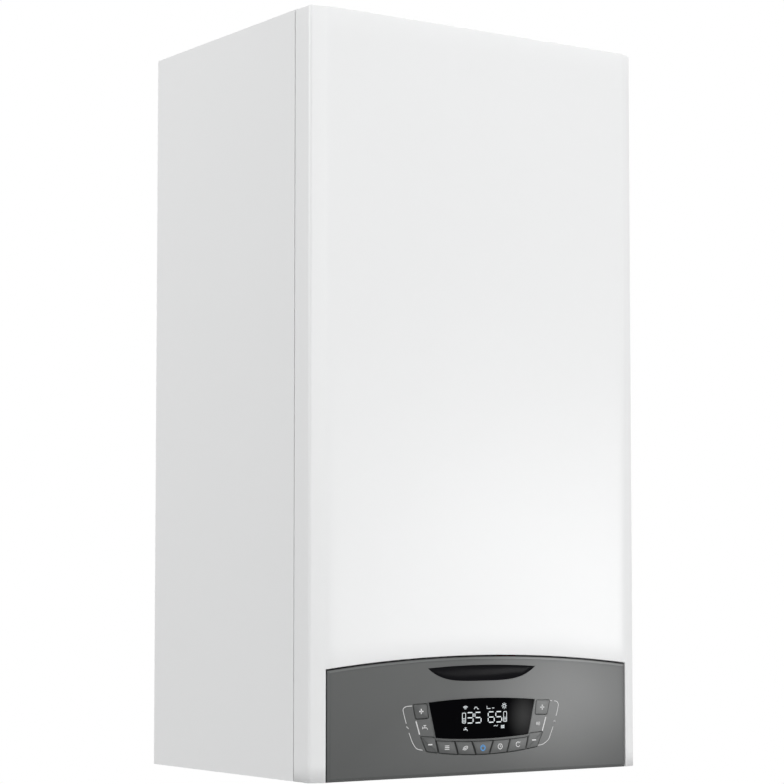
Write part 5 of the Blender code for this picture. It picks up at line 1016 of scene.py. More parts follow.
def makeFlue():
    # collar with its webs and screws, the offset duct with its foot bead, and the air intake cover
    wall, depth, seat = flue["collarWall"], flue["depth"], flue["seat"]
    outer, inner = flue["collar"], flue["collar"] - wall
    tall = flue["top"] - seat
    profile = rolledEdges([(outer, tall), (outer, 0.0062), (outer + 0.0012, 0.0050), (outer + 0.0012, 0.0030),
                           (flue["flange"] - 0.002, 0.0030), (flue["flange"], 0.0022), (flue["flange"], 0.0),
                           (inner, 0.0), (inner, tall)], 0.0006)
    parts = [ringLoop(profile, (0, depth, seat), "up", 120)]
    for degrees in (90, 210, 330):
        outline = barOutline((0.0, depth), degrees, flue["radius"] + 0.0003, inner + wall / 2, 0.0015)
        parts.append(stackedRings(outline, [(0, seat + 0.0015), (0, seat + 0.0102), (0.0005, seat + 0.0105)], "plan"))
    cap = [(0, 0.0092), (0.0044, 0.0092), (0.0056, 0.0080), (0.0060, 0.0070), (0.0060, 0.0), (0, 0)]
    reach = (outer + flue["flange"]) / 2
    for degrees in (35, 145):
        parts.append(turnedShape(cap, (*turnSpot(0, depth, reach, degrees), seat + 0.0012), "up", 48, 12,
                                 lobesFrom(cap, 1, (0.0002, 0.0006, 0.0006, 0.0006))))
    for degrees in (0, 90, 180, 270):
        parts.append(panScrew((*turnSpot(0, depth, reach + 0.001, degrees), seat + 0.0026), (0.0012, 0.0018), 0.0028,
                              (0.0030, 0.0022), (0.0034, 0.0010), 32))
    addPiece("flueCollar", parts, "black_plastic", "flue_collar")

    radius, wall, side, foot = flue["radius"], flue["wall"], flue["side"], flue["foot"]
    path = bentPath([(side, depth, foot), (side, depth, foot + 0.020), (0, depth, caseHeight - 0.018),
                     (0, depth, flue["ductTop"])], flue["bend"], 10)
    bead = boxOutline((radius - wall / 2, radius + 2 * wall), (0.0, wall), 0.0008, 3)
    parts = [tubeShape(path, radius, 56, wall), ringLoop(bead, (side, depth, foot), "up", 72)]
    addPiece("flueDuct", parts, "black_plastic", "flue_duct")

    radius, rim = inlet["radius"], inlet["rim"]
    cap = softened([(0, 0.0050), (radius * 0.62, 0.0050), (radius * 0.66, 0.0040), (radius * 0.80, 0.0040),
                    (radius * 0.84, 0.0048), (radius + rim / 3, 0.0030), (radius + rim, 0.0028), (radius + rim, 0.0),
                    (radius * 0.985, 0.0), (radius * 0.985, -rim), (0, -rim)], 0.0006, 3)
    parts = [turnedShape(cap, (inlet["x"], depth, seat), "up", 96)]
    for degrees in (45, 225):
        parts.append(panScrew((*turnSpot(inlet["x"], depth, radius + rim / 2, degrees), seat + 0.0026),
                              (0.0010, 0.0010), 0.0020, (0.0026, 0.0016), (0.0030, 0.0006), 32))
    addPiece("airInletCap", parts, "black_plastic", "air_intake_cover")


def stubShape(x, radius):
    # brass pipe end: helical thread on a turned body. radius = profile - depth * (0.5 - 0.5 cos(pitch phase - angle))
    start, tall, bore = ends["foot"], ends["top"] - ends["foot"], radius - ends["wall"]
    threadTop, steps = ends["threadTop"], 64
    lift = np.linspace(0.0016, threadTop - 0.0036, 100)
    fade = np.clip(np.minimum(lift - lift[0], lift[-1] - lift) / 0.002, 0, 1)
    body = np.array([(0, tall / 2), (bore, tall / 2), (bore, 0.0006), (bore + 0.0006, 0), (radius - 0.0014, 0),
                     (radius - 0.0002, 0.0012), *((radius, level) for level in lift), (radius, threadTop - 0.0034),
                     (radius - 0.0010, threadTop - 0.0026), (radius - 0.0010, threadTop - 0.0006),
                     (radius, threadTop + 0.0004), (radius, tall), (0, tall)])
    deep = lobesFrom(body, 6, fade * ends["threadDeep"])
    angle = np.linspace(0, 2 * math.pi, steps, endpoint=False)[:, None]
    wave = 0.5 - 0.5 * np.cos(2 * math.pi * body[:, 1][None, :] / ends["thread"] - angle)
    reach = body[:, 0][None, :] - wave * deep[None, :]
    height = np.broadcast_to(body[:, 1][None, :] + start, reach.shape)
    points = world(x + reach * np.cos(angle), ends["depth"] + reach * np.sin(angle), height)
    return points.reshape(-1, 3), gridFaces(steps, len(body), closeRows=True)


def makePipeEnds():
    names = ("heating_flow_end", "hot_water_end", "gas_connection", "cold_water_end", "heating_return_end")
    for index, name in enumerate(names):
        x = ends["pitch"] * (index - 2)
        radius = ends["heating"] if index in (0, 4) else ends["water"]
        nut = hexShape(x, ends["depth"], ends["plate"], max(0.018, radius * 1.35), ends["hexTall"])
        addPiece(camelName(name), [stubShape(x, radius), nut], "brass", name, crisp=40)


under = dict(trap=(-0.150, 0.172), trapR=0.026, trapNeck=0.020, trapTop=0.1643, trapFoot=0.010,
             knob=(0.100, 0.105), knobR=0.012, knobTop=0.034, gland=(0.165, 0.190),
             glandR=0.008, glandLip=0.003)


def makeUnderside():
    # condensate trap with its ribbed cup, the filling knob's flutes, and the cable gland
    foot = under["trapFoot"] - ends["plate"]
    tall = under["trapTop"] - ends["plate"]
    neck, wide = under["trapNeck"], under["trapR"]
    profile = softened([(0, tall), (wide * 0.80, tall), (wide, tall - 0.006), (wide, tall - 0.012),
                        (wide - 0.0015, tall - 0.014), (wide - 0.0015, 0.020), (wide, 0.018), (wide, 0), (neck, 0),
                        (neck, -0.010), (neck * 0.80, foot + 0.008), (0.0115, foot + 0.006), (0.0115, foot),
                        (0.0085, foot), (0.0085, foot + 0.020), (0, foot + 0.020)], 0.0008, 2)
    deep = np.where((profile[:, 1] < 0.002) & (profile[:, 1] > foot + 0.0065) & (profile[:, 0] > 0.012), 0.0010, 0.0)
    trap = turnedShape(profile, (*under["trap"], ends["plate"]), "up", 144, 24, deep, 0.6)
    addPiece("condensateTrap", [trap], "black_plastic", "siphon")

    top, radius = under["knobTop"], under["knobR"]
    stem = ends["top"] + 0.0003 - 0.010 - top
    profile = [(0, stem), (0.004, stem), (0.004, 0.0), (radius * 0.72, 0.0), (radius * 0.86, -0.0008),
               (radius * 0.98, -0.0030), (radius, -0.0045), (radius, -0.0150), (radius * 0.95, -0.0168),
               (radius * 0.82, -0.0178), (radius * 0.5, -0.0180), (radius * 0.45, -0.0176), (0, -0.0176)]
    deep = lobesFrom(profile, 3, (0.0004, 0.0012, 0.0022, 0.0024, 0.0024, 0.0020, 0.0010))
    knob = turnedShape(profile, (*under["knob"], top), "up", 120, 6, deep, 2.2)
    addPiece("fillingKnob", [knob], "blue_plastic", "filling_knob", body="filling_knob")

    neck, lip = under["glandR"], under["glandLip"]
    bore = neck * 0.45
    nut = np.array([(neck + lip / 2, -0.0060), (neck + lip / 2, -0.0135), (neck * 0.92, -0.0160),
                    (neck * 0.78, -0.0215), (neck * 0.70, -0.022), (bore + 0.0004, -0.022), (bore, -0.0216),
                    (bore, 0.008), (neck + lip - 0.0006, 0.008), (neck + lip, 0.0074), (neck + lip, 0.0), (neck, 0.0),
                    (neck, -0.006), (neck + lip / 2, -0.0060)])
    deep = np.where((nut[:, 1] < -0.005) & (nut[:, 1] > -0.0150) & (nut[:, 0] > neck), 0.0007, 0.0)
    gland = turnedShape(nut, (*under["gland"], ends["plate"]), "up", 96, 12, deep, 0.8)
    addPiece("cableGland", [gland], "black_plastic", "cable_gland")


makeFlue()
makePipeEnds()
makeUnderside()
print("flue, pipe ends and underside ready")


# ---- heat exchanger drum, burner door and ignition

drum = dict(x=-0.066, height=0.530, back=0.095, length=0.148, radius=0.118, wall=0.004, flange=0.010, bead=0.002,
            spigotX=-0.040, spigotDepth=0.150, spigotTop=0.660, spigotR=0.033, portSide=0.086, portDepth=0.120,
            portR=0.010, portFoot=0.4252, drainDepth=0.200, drainR=0.011, drainFoot=0.3930)
door = dict(seat=0.245, thick=0.006, boss=0.012, bore=0.020, bossR=0.032, face=0.009, pocket=0.100,
            boltR=0.123, nuts=6, barNear=0.030, barFar=0.104, arcs=(0.055, 0.080), sightR=0.0675, sightTurn=210)


def hexFront(x, height, low, radius, tall, spin):
    # a nut that faces forward, with the corners of its face turned off
    cut = 0.0006
    return stackedRings(hexOutline(x, height, radius, 0.0007, spin),
                        [(0, low), (0, low + tall - cut), (1.7 * cut, low + tall)])


def boltHead(x, height, low, radius=0.0032, tall=0.0026):
    # pan head with a hexagon socket
    cap = [(0, tall * 0.45), (radius * 0.42, tall * 0.45), (radius * 0.46, tall), (radius * 0.80, tall * 0.94),
           (radius * 0.97, tall * 0.62), (radius, tall * 0.3), (radius, 0), (0, 0)]
    return turnedShape(cap, (x, low, height), "front", 36)


def boltRing(x, height, low, reach, radius, tall):
    return [boltHead(*turnSpot(x, height, reach, degrees), low, radius, tall) for degrees in (45, 135, 225, 315)]


def makeDrum():
    # drum with two swaged rings, a flanged mouth, the flue spigot and three pipe stubs; then the door's seal
    radius, wall, tall, bead = drum["radius"], drum["wall"], drum["length"], drum["bead"]
    outside = [(0, 0.0015), (radius * 0.55, 0.0015), (radius * 0.62, 0), (radius - bead, 0), (radius, bead)]
    for share in (0.33, 0.66):
        outside += [(radius, tall * share - 0.006), (radius - bead, tall * share - 0.002),
                    (radius - bead, tall * share + 0.002), (radius, tall * share + 0.006)]
    rim = [(radius, tall - wall), (radius + drum["flange"], tall - wall), (radius + drum["flange"], tall),
           (radius - wall, tall), (radius - wall, wall), (0, wall)]
    profile = softened(outside + rim, 0.0022, 4)
    parts = [turnedShape(profile, (drum["x"], drum["back"], drum["height"]), "front", 144)]
    foot = drum["height"] + radius - 0.020
    mouth = drum["spigotTop"] - foot
    outer, inner = drum["spigotR"], drum["spigotR"] - 0.0022
    pipe = [(outer, 0), (outer, mouth - 0.014), (outer + 0.0014, mouth - 0.012), (outer + 0.0014, mouth - 0.009),
            (outer, mouth - 0.007), (outer, mouth), (inner, mouth), (inner, 0)]
    parts.append(ringLoop(softened(pipe, 0.0006, 3, True), (drum["spigotX"], drum["spigotDepth"], foot), "up", 96))
    for x, depth, reach, low in ((drum["x"] - drum["portSide"], drum["portDepth"], drum["portR"], drum["portFoot"]),
                                 (drum["x"] + drum["portSide"], drum["portDepth"], drum["portR"], drum["portFoot"]),
                                 (drum["x"], drum["drainDepth"], drum["drainR"], drum["drainFoot"])):
        edge = drum["height"] - math.sqrt(radius ** 2 - (x - drum["x"]) ** 2) - low
        stub = softened([(0, 0.010), (reach - 0.0016, 0.010), (reach - 0.0016, 0), (reach, 0), (reach, 0.004),
                         (reach + 0.0010, 0.0055), (reach + 0.0010, 0.0075), (reach, 0.009), (reach, edge),
                         (reach + 0.0020, edge + 0.006), (0, edge + 0.006)], 0.0006, 3)
        parts.append(turnedShape(stub, (x, depth, low), "up", 56))
    addPiece("exchangerDrum", parts, "stainless", "exchanger_drum")

    seal = rolledEdges([(radius, 0.0014), (radius, 0), (radius - wall, 0), (radius - wall, 0.0014)], 0.0005)
    seal = ringLoop(seal, (drum["x"], 0.2433, drum["height"]), "front", 144)
    addPiece("doorSeal", [seal], "rubber", "door_seal")


def makeDoor():
    # cast door with ribs, bolt pads and sight hole; its nuts and glass are pieces of their own
    x0, h0, seat = drum["x"], drum["height"], door["seat"]
    rim = drum["radius"] + drum["flange"]
    top = door["thick"] + door["boss"]
    profile = [(door["bore"], top), (door["bossR"], top), (door["bossR"] + 0.002, top - 0.003), (0.038, door["face"]),
               (door["pocket"], door["face"]), (0.106, door["thick"]), (0.113, door["thick"] - 0.0006),
               (rim, door["thick"]), (rim, 0), (door["bore"], 0)]
    parts = [ringLoop(softened(profile, 0.0016, 4, True), (x0, seat, h0), "front", 144)]
    pad = softened([(0, 0), (0, 0.0056), (0.0098, 0.0056), (0.0108, 0)], 0.0008, 3)
    for index in range(door["nuts"]):
        bar = barOutline((x0, h0), 60 * index, door["barNear"], door["barFar"], 0.0026, 0.0017)
        bar = softened(bar, 0.0012, 3, True)
        parts.append(stackedRings(bar, [(0, seat + 0.004), (0, seat + 0.0118), (0.0004, seat + 0.0126),
                                        (0.0012, seat + 0.0130)]))
        boltX, boltH = turnSpot(x0, h0, door["boltR"] * 0.96, 60 * index)
        parts.append(turnedShape(pad, (boltX, seat + 0.0012, boltH), "front", 40))
        if index != 1:
            for reach in door["arcs"]:
                arc = arcLine(x0, h0, reach, 60 * index + 2, 60 * index + 58, 30)
                parts.append(strokeShape(arc, 0.0026, seat + 0.005, seat + 0.0112))
    sight = turnSpot(x0, h0, door["sightR"], door["sightTurn"])
    eye = softened([(0, 0.0040), (0, 0), (0.0096, 0.0), (0.0096, 0.0046), (0.0072, 0.0068), (0.0048, 0.0068),
                    (0.0048, 0.0040)], 0.0004, 2)
    parts.append(turnedShape(eye, (sight[0], seat + door["face"] - 0.001, sight[1]),
                             "front", 48))
    addPiece("burnerDoor", parts, "cast_aluminium", "burner_door")

    parts = []
    low = seat + door["thick"] - 0.0004
    washer = rolledEdges([(0.0070, 0), (0.0070, 0.0014), (0.0028, 0.0014), (0.0028, 0)], 0.0003)
    stud = softened([(0, 0.0072), (0.0022, 0.0072), (0.0026, 0.0064), (0.0026, 0), (0, 0)], 0.0003, 2)
    for index in range(door["nuts"]):
        boltX, boltH = turnSpot(x0, h0, door["boltR"], 60 * index)
        parts += [ringLoop(washer, (boltX, low, boltH), "front", 36),
                  hexFront(boltX, boltH, low + 0.0010, 0.0056, 0.0042, 17 * index),
                  turnedShape(stud, (boltX, low, boltH), "front", 24)]
    addPiece("doorNuts", parts, "brass")
    pane = softened([(0, 0.0010), (0.0030, 0.0008), (0.0046, 0.0002), (0.0046, -0.001), (0, -0.001)], 0.0003, 3)
    addPiece("sightGlass", [turnedShape(pane, (sight[0], seat + door["face"] + 0.0032, sight[1]), "front", 36)],
             "dark_glass")


def makeIgnition():
    # glazed plate with two ribbed insulators
    x0, height, seat = drum["x"], drum["height"] + 0.068, door["seat"] + door["face"] + 0.0003
    plate = boxOutline((x0 - 0.0198, x0 + 0.0198), (height - 0.010, height + 0.010), 0.0045, 6)
    parts = [stackedRings(plate, [(0.0004, seat), (0, seat + 0.0005), (0, seat + 0.0024), (0.0008, seat + 0.0030)])]
    for side in (-1, 1):
        stem = [(0, 0.0300), (0.0018, 0.0300), (0.0026, 0.0292), (0.0026, 0.0225), (0.0040, 0.0205)]
        for ring in range(4):
            low = 0.0190 - 0.0036 * ring
            stem += [(0.0055, low), (0.0055, low - 0.0012), (0.0042, low - 0.0020), (0.0042, low - 0.0028)]
        stem += [(0.0055, 0.0030), (0.0055, 0.0010), (0, 0.0010)]
        parts.append(turnedShape(softened(stem, 0.0004, 2), (x0 + side * 0.0108, seat, height), "front", 40))
    addPiece("ignitionElectrode", parts, "ceramic", "electrode")


vessel = dict(x=0.0, height=0.540, back=0.0013, thick=0.086, radius=0.165, dome=0.159, seam=0.002, nippleX=0.100,
              nippleR=0.0078, nippleFoot=0.3988)


def makeVessel():
    # pressed halves with a rolled seam, a shallow step in the front dome and the screwed nipple below
    thick, dome, seam = vessel["thick"], vessel["dome"], vessel["seam"]
    middle = thick / 2
    profile = [(0, thick - 0.0024), (dome * 0.22, thick - 0.0024), (dome * 0.25, thick), (dome * 0.55, thick - 0.002),
               (dome * 0.85, thick - 0.012), (dome, middle + 0.014), (dome, middle + seam + 0.0004),
               (vessel["radius"] - 0.0008, middle + seam), (vessel["radius"], middle + seam * 0.4),
               (vessel["radius"], middle - seam * 0.4), (vessel["radius"] - 0.0008, middle - seam),
               (dome, middle - seam - 0.0004), (dome, 0.018), (dome * 0.9, 0.002), (dome * 0.75, 0), (0, 0)]
    parts = [turnedShape(softened(profile, 0.006, 6), (vessel["x"], vessel["back"], vessel["height"]), "front", 160)]
    reach = vessel["nippleR"]
    edge = vessel["height"] - math.sqrt(dome ** 2 - vessel["nippleX"] ** 2) - vessel["nippleFoot"] + 0.012
    nipple = softened([(0, 0.006), (reach * 0.6, 0.006), (reach * 0.6, 0), (reach * 0.93, 0), (reach, 0.001),
                       (reach, edge), (0, edge)], 0.0005, 3)
    parts.append(turnedShape(nipple, (vessel["nippleX"], vessel["back"] + middle, vessel["nippleFoot"]), "up", 48))
    addPiece("expansionVessel", parts, "red_lacquer", "expansion_vessel")


makeDrum()
makeDoor()
makeIgnition()
makeVessel()
print("drum, door and vessel ready")


# ---- fan, mixer duct and gas train

fan = dict(spot=(0.130, 0.170), low=0.530, top=0.576, wall=0.003, start=0.050, end=0.066, mouthWide=0.040,
           mouth=0.263, mouthX=0.084, mouthHeight=0.553, eye=0.022, shaft=0.0035, clear=0.0003, flange=0.028,
           flangeThick=0.004, duct=0.020)
motor = dict(foot=0.5763, tall=0.042, radius=0.040)
duct = dict(start=0.2633, deep=0.2893, bend=0.022, x=(-0.066, 0.084), height=(0.530, 0.553), wall=0.0022,
            collar=0.004)
venturi = dict(foot=0.4697, tall=0.060, branchR=0.013, branchHeight=0.4937, branchFrom=0.1456, branchTo=0.1597)
silencer = dict(x=(0.160, 0.1967), depth=(0.120, 0.215), height=(0.4297, 0.524))
valve = dict(x=0.130, depth=0.170, halfWide=0.028, halfDeep=0.035, low=0.4094, top=0.4594, foot=0.3994,
             screwInset=0.0066, coilSide=0.014)


def scrollTongue():
    # angle at which the spiral starts, beside the mouth's inner wall
    return math.acos((fan["mouthWide"] - fan["end"]) / fan["start"])


def scrollOutline(inset, mouth, steps=64):
    # spiral seen from above: the radius grows evenly from the tongue round to the straight mouth
    x, depth = fan["spot"]
    innerWall = x - fan["end"] + fan["mouthWide"]
    share = np.linspace(0, 1, steps + 1)
    turn = scrollTongue() - (scrollTongue() + math.pi) * share
    radius = fan["start"] + (fan["end"] - fan["start"]) * share - inset
    spiral = np.stack([x + radius * np.cos(turn), depth + radius * np.sin(turn)], axis=1)
    spiral[0, 0] = innerWall - inset
    return np.concatenate([spiral, [(x - fan["end"] + inset, mouth), (innerWall - inset, mouth)]])


def makeFan():
    # scroll housing cut hollow, its seam, lugs and flange, and the ribbed motor with its plug
    low, top, wall = fan["low"], fan["top"], fan["wall"]
    soft = turnedOff(low, top, 0.0026, (0.0008, 0.0008), 0.0026)
    housing = addPiece("fanHousing", [stackedRings(scrollOutline(0, fan["mouth"] - 0.001), soft, "plan")],
                       "cast_aluminium", "fan_housing")
    front, spot = fan["mouth"], fan["spot"]
    hollow = stackedRings(scrollOutline(wall, front - 2 * fan["flangeThick"]), [(0, low + wall), (0, top - wall)],
                          "plan")
    carved(housing, [hollow])
    carved(housing, [plainRod((fan["mouthX"], front - 0.012, fan["mouthHeight"]), "front", fan["duct"] - wall, 0.016),
                     plainRod((*spot, low - wall), "up", fan["eye"], 3 * wall),
                     plainRod((*spot, top - 2 * wall), "up", fan["shaft"] + fan["clear"], 3 * wall)])

    parts = []
    seam = (low + top) / 2
    ridge = counterClockwise(scrollOutline(-0.0016, front - 0.006))
    inside = insetOutline(counterClockwise(scrollOutline(0, front - 0.006)), 0.0012)
    rows = [world(*outline.T, seam + lift) for outline, lift in ((inside, -0.0012), (ridge, -0.0012), (ridge, 0.0012),
                                                                 (inside, 0.0012))]
    parts.append((np.concatenate(rows), gridFaces(4, len(ridge), closeRows=True, closeColumns=True)))
    collar = rolledEdges([(fan["flange"], fan["flangeThick"]), (fan["flange"], 0), (fan["duct"] - wall, 0),
                          (fan["duct"] - wall, fan["flangeThick"])], 0.0008)
    parts.append(ringLoop(collar, (fan["mouthX"], front - fan["flangeThick"], fan["mouthHeight"]), "front", 80))
    tongue = scrollTongue()
    lug = rolledEdges([(0, 0), (0.0044, 0), (0.0044, 0.012), (0, 0.012)], 0.0008, 3, False)
    for degrees in (20, 75, -40, -95, -150):
        share = (tongue - math.radians(degrees)) / (tongue + math.pi)
        reach = fan["start"] + (fan["end"] - fan["start"]) * share + 0.0022
        x, depth = turnSpot(*spot, reach, degrees)
        parts.append(turnedShape(lug, (x, depth, seam - 0.006), "up", 28))
        parts.append(panScrew((x, depth, seam + 0.0058), (0.0012, 0.0012), 0.0024, (0.0026, 0.0020),
                              (0.0030, 0.0008)))
    step = rolledEdges([(fan["eye"] + 0.019, 0.0012), (fan["eye"] + 0.019, 0.0), (fan["eye"] + 0.006, 0.0),
                        (fan["eye"] + 0.006, 0.0012)], 0.0004)
    parts.append(ringLoop(step, (*spot, top - 0.0010), "up", 80))
    addPiece("fanLugs", parts, "cast_aluminium")

    radius, tall = motor["radius"], motor["tall"]
    bore = fan["shaft"] + fan["clear"]
    can = [(0, tall), (0.011, tall), (0.013, tall - 0.0014), (0.024, tall - 0.0014), (0.026, tall),
           (radius * 0.70, tall), (radius * 0.80, tall - 0.0014), (radius - 0.0008, tall - 0.0076),
           (radius, tall - 0.010), (radius, tall - 0.016), (radius, 0.0095), (radius, 0.0065),
           (radius - 0.001, 0.0055), (0.025, 0.0045), (0.024, 0.0035), (0.024, 0), (bore, 0),
           (bore, tall / 2 + 0.0003), (0, tall / 2 + 0.0003)]
    deep = lobesFrom(can, 6, (0.0004, 0.0018, 0.0022, 0.0022, 0.0022, 0.0014))
    parts = [turnedShape(can, (*spot, motor["foot"]), "up", 240, 30, deep, 0.7)]
    x, depth = spot
    plug = boxOutline((x - 0.012, x + 0.012), (depth + 0.024, depth + 0.050), 0.002)
    parts.append(stackedRings(plug, [(0.0012, 0.590), (0, 0.5912), (0, 0.6042), (0.0015, 0.606)], "plan"))
    latch = boxOutline((x - 0.004, x + 0.004), (depth + 0.0480, depth + 0.0512), 0.0008, 3)
    parts.append(stackedRings(latch, [(0, 0.5935), (0, 0.6030), (0.0008, 0.6042)], "plan"))
    addPiece("fanMotor", parts, "black_plastic", "fan_motor")


def makeMixerDuct():
    # swept elbow with bolted flanges at both ends
    start, deep = duct["start"], duct["deep"]
    inside = start + 0.001
    (leftX, rightX), (leftH, rightH) = duct["x"], duct["height"]
    path = bentPath([(leftX, inside, leftH), (leftX, deep, leftH), (rightX, deep, rightH), (rightX, inside, rightH)],
                    duct["bend"], 20)
    radius, wall, thick = fan["duct"], duct["wall"], duct["collar"]
    parts = [tubeShape(path, radius, 64, wall)]
    collar = rolledEdges([(fan["flange"], thick), (fan["flange"], 0), (radius - wall, 0), (radius - wall, thick)],
                         0.0008)
    fillet = rolledEdges([(radius + 0.0035, 0), (radius + 0.0009, 0.0012), (radius + 0.0002, 0.0034),
                          (radius - 0.0010, 0.0034), (radius - 0.0010, 0)], 0.0004)
    for x, height in ((leftX, leftH), (rightX, rightH)):
        parts.append(ringLoop(collar, (x, start, height), "front", 80))
        parts.append(ringLoop(fillet, (x, start + 0.0036, height), "front", 80))
        parts += boltRing(x, height, start + 0.0038, fan["flange"] - 0.0038, 0.0028, 0.0024)
    middle, crest = (leftX + rightX) / 2, deep + radius - 0.0006
    spine = np.linspace((middle - 0.048, leftH + 0.0046), (middle + 0.048, rightH - 0.0046), 24)
    parts.append(strokeShape(spine, 0.0026, crest - 0.004, crest + 0.0004))
    addPiece("mixerDuct", parts, "cast_aluminium", "mixer_duct")


def makeVenturi():
    # flared mixer with six webs and its gas branch, and the grooved air silencer beside it
    foot, tall = venturi["foot"], venturi["tall"]
    shell = [(0.026, tall), (0.026, tall - 0.006), (0.021, tall - 0.009), (0.018, 0.033), (0.023, 0.021),
             (0.023, 0.004), (0.016, 0), (0.010, 0), (0.010, 0.030), (0.021, tall)]
    parts = [ringLoop(softened(shell, 0.0016, 4, True), (*fan["spot"], foot), "up", 96)]
    for degrees in range(30, 360, 60):
        web = barOutline(fan["spot"], degrees, 0.0185, 0.0232, 0.0012)
        parts.append(stackedRings(web, [(0, foot + 0.016), (0, foot + tall - 0.008)], "plan"))
    reach, length = venturi["branchR"], venturi["branchTo"] - venturi["branchFrom"]
    branch = [(reach - 0.0015, length), (reach, length), (reach, length - 0.0030), (reach + 0.0018, length - 0.0030),
              (reach + 0.0018, length - 0.0052), (reach, length - 0.0052), (reach, 0), (reach - 0.0015, 0)]
    parts.append(ringLoop(softened(branch, 0.0004, 2, True),
                          (venturi["branchFrom"], fan["spot"][1], venturi["branchHeight"]), "right", 64))
    addPiece("venturiMixer", parts, "cast_aluminium", "venturi_mixer")

    low, top = silencer["height"]
    outline = boxOutline(silencer["x"], silencer["depth"], 0.009, 8)
    grooves = []
    for share in (0.25, 0.5, 0.75):
        middle = low + (top - low) * share
        grooves += [(0, middle - 0.0034), (0.0014, middle - 0.0022), (0.0014, middle + 0.0022), (0, middle + 0.0034)]
    rings = turnedOff(low, top, 0.0030, (0.0008, 0.0009), 0.0030, grooves)
    addPiece("airSilencer", [stackedRings(outline, rings, "plan")], "black_plastic", "air_silencer")


def makeGasValve():
    # cast valve body with necks, screws and regulator cap, and its two coils behind
    x0, depth, low, top = valve["x"], valve["depth"], valve["low"], valve["top"]
    wide, deep = valve["halfWide"], valve["halfDeep"]
    outline = boxOutline((x0 - wide, x0 + wide), (depth - deep, depth + deep), 0.007, 6)
    seam = (low + top) / 2 + 0.008
    groove = [(0, seam - 0.0008), (0.0009, seam - 0.0004), (0.0009, seam + 0.0004), (0, seam + 0.0008)]
    parts = [stackedRings(outline, turnedOff(low, top, 0.0022, (0.0006, 0.0006), 0.0022, groove), "plan")]
    for radius, foot in ((0.015, valve["foot"]), (0.014, top - 0.001)):
        tall = 0.0110
        neck = rolledEdges([(0, 0), (radius, 0), (radius, 0.0035), (radius - 0.0010, 0.0045),
                            (radius - 0.0010, 0.0065), (radius, 0.0075), (radius, tall), (0, tall)], 0.0005, 3, False)
        parts.append(turnedShape(neck, (x0, depth, foot), "up", 64))
    for side, along in ((-1, -1), (-1, 1), (1, -1), (1, 1)):
        x, spot = x0 + side * (wide - valve["screwInset"]), depth + along * (deep - valve["screwInset"])
        parts.append(plainRod((x, spot, top - 0.0008), "up", 0.0034, 0.0012, 24))
        parts.append(panScrew((x, spot, top + 0.0002), (0.0014, 0.0012), 0.0026, (0.0022, 0.0024), (0.0026, 0.0016)))
    cap = softened([(0, 0.0122), (0.0020, 0.0122), (0.0026, 0.0108), (0.0100, 0.0108), (0.0118, 0.0092),
                    (0.0140, 0.0080), (0.0140, 0), (0, 0)], 0.0006, 3)
    lobed = np.where((cap[:, 0] > 0.0125) & (cap[:, 1] > 0.001), 0.0007, 0.0)
    parts.append(turnedShape(cap, (x0 - wide + 0.0004, depth, (low + top) / 2), "left", 144, 24, lobed, 0.8))
    addPiece("gasValve", parts, "cast_aluminium", "gas_valve")

    parts = []
    for side in (-1, 1):
        place = (x0 + side * valve["coilSide"], depth + deep - 0.004, (low + top) / 2)
        coil = softened([(0, 0.0340), (0.0030, 0.0340), (0.0036, 0.0326), (0.0100, 0.0326), (0.01176, 0.0310),
                         (0.01176, 0.0270), (0.0108, 0.0262), (0.0108, 0.0108), (0.01176, 0.0100), (0.01176, 0),
                         (0, 0)], 0.0006, 3)
        parts.append(turnedShape(coil, place, "front", 72))
        for blade in (-1, 1):
            x = place[0] + blade * 0.0046
            tab = boxOutline((x - 0.0004, x + 0.0004), (place[2] + 0.0100, place[2] + 0.0158))
            parts.append(stackedRings(tab, [(0, place[1] + 0.012), (0, place[1] + 0.018)]))
    addPiece("valveCoils", parts, "black_plastic")


makeFan()
makeMixerDuct()
makeVenturi()
makeGasValve()
print("fan, duct and gas train ready")


# ---- hydraulic blocks, pump and small fittings

blocks = dict(back=0.045, front=0.125, low=0.060, flowX=(-0.160, -0.045), flowTop=0.150, returnX=(0.045, 0.165),
              returnTop=0.145, plateTop=0.0393, bossHeight=0.121)
pump = dict(x=0.120, height=0.190, volute=0.050, voluteBack=0.085, chamber=0.034, seat=0.1253, radius=0.046,
            length=0.075, bolts=0.0462, lugs=0.0505)
plates = dict(x=(-0.095, 0.062), height=(0.086, 0.156), seat=0.1283, thick=0.040, count=10, waist=0.0010,
              bulge=-0.0013, chevrons=9, chevronWide=0.0046)
vent = dict(spot=(0.150, 0.105), foot=0.2403, radius=0.015, tall=0.060)
diverter = dict(spot=(-0.095, 0.085), foot=0.1503, radius=0.021, tall=0.052)
safety = dict(x=0.150, height=0.095, seat=0.1453, radius=0.018)


def sideView(top, cutFront, cutBack):
    back, front, low = blocks["back"], blocks["front"], blocks["low"]
    return softened([(back, low), (front, low), (front, top - cutFront), (front - cutFront, top),
                     (back + cutBack, top), (back, top - 0.012)], 0.005, 5, True)


def slabShape(x, depth, height, radius=0.0015):
    # block with its plan corners rounded and its upper and lower edges turned off
    outline = boxOutline(x, depth, radius)
    soft = min(radius, 0.0012)
    return stackedRings(outline, [(soft, height[0]), (0, height[0] + soft), (0, height[1] - soft), (soft, height[1])],
                        "plan")


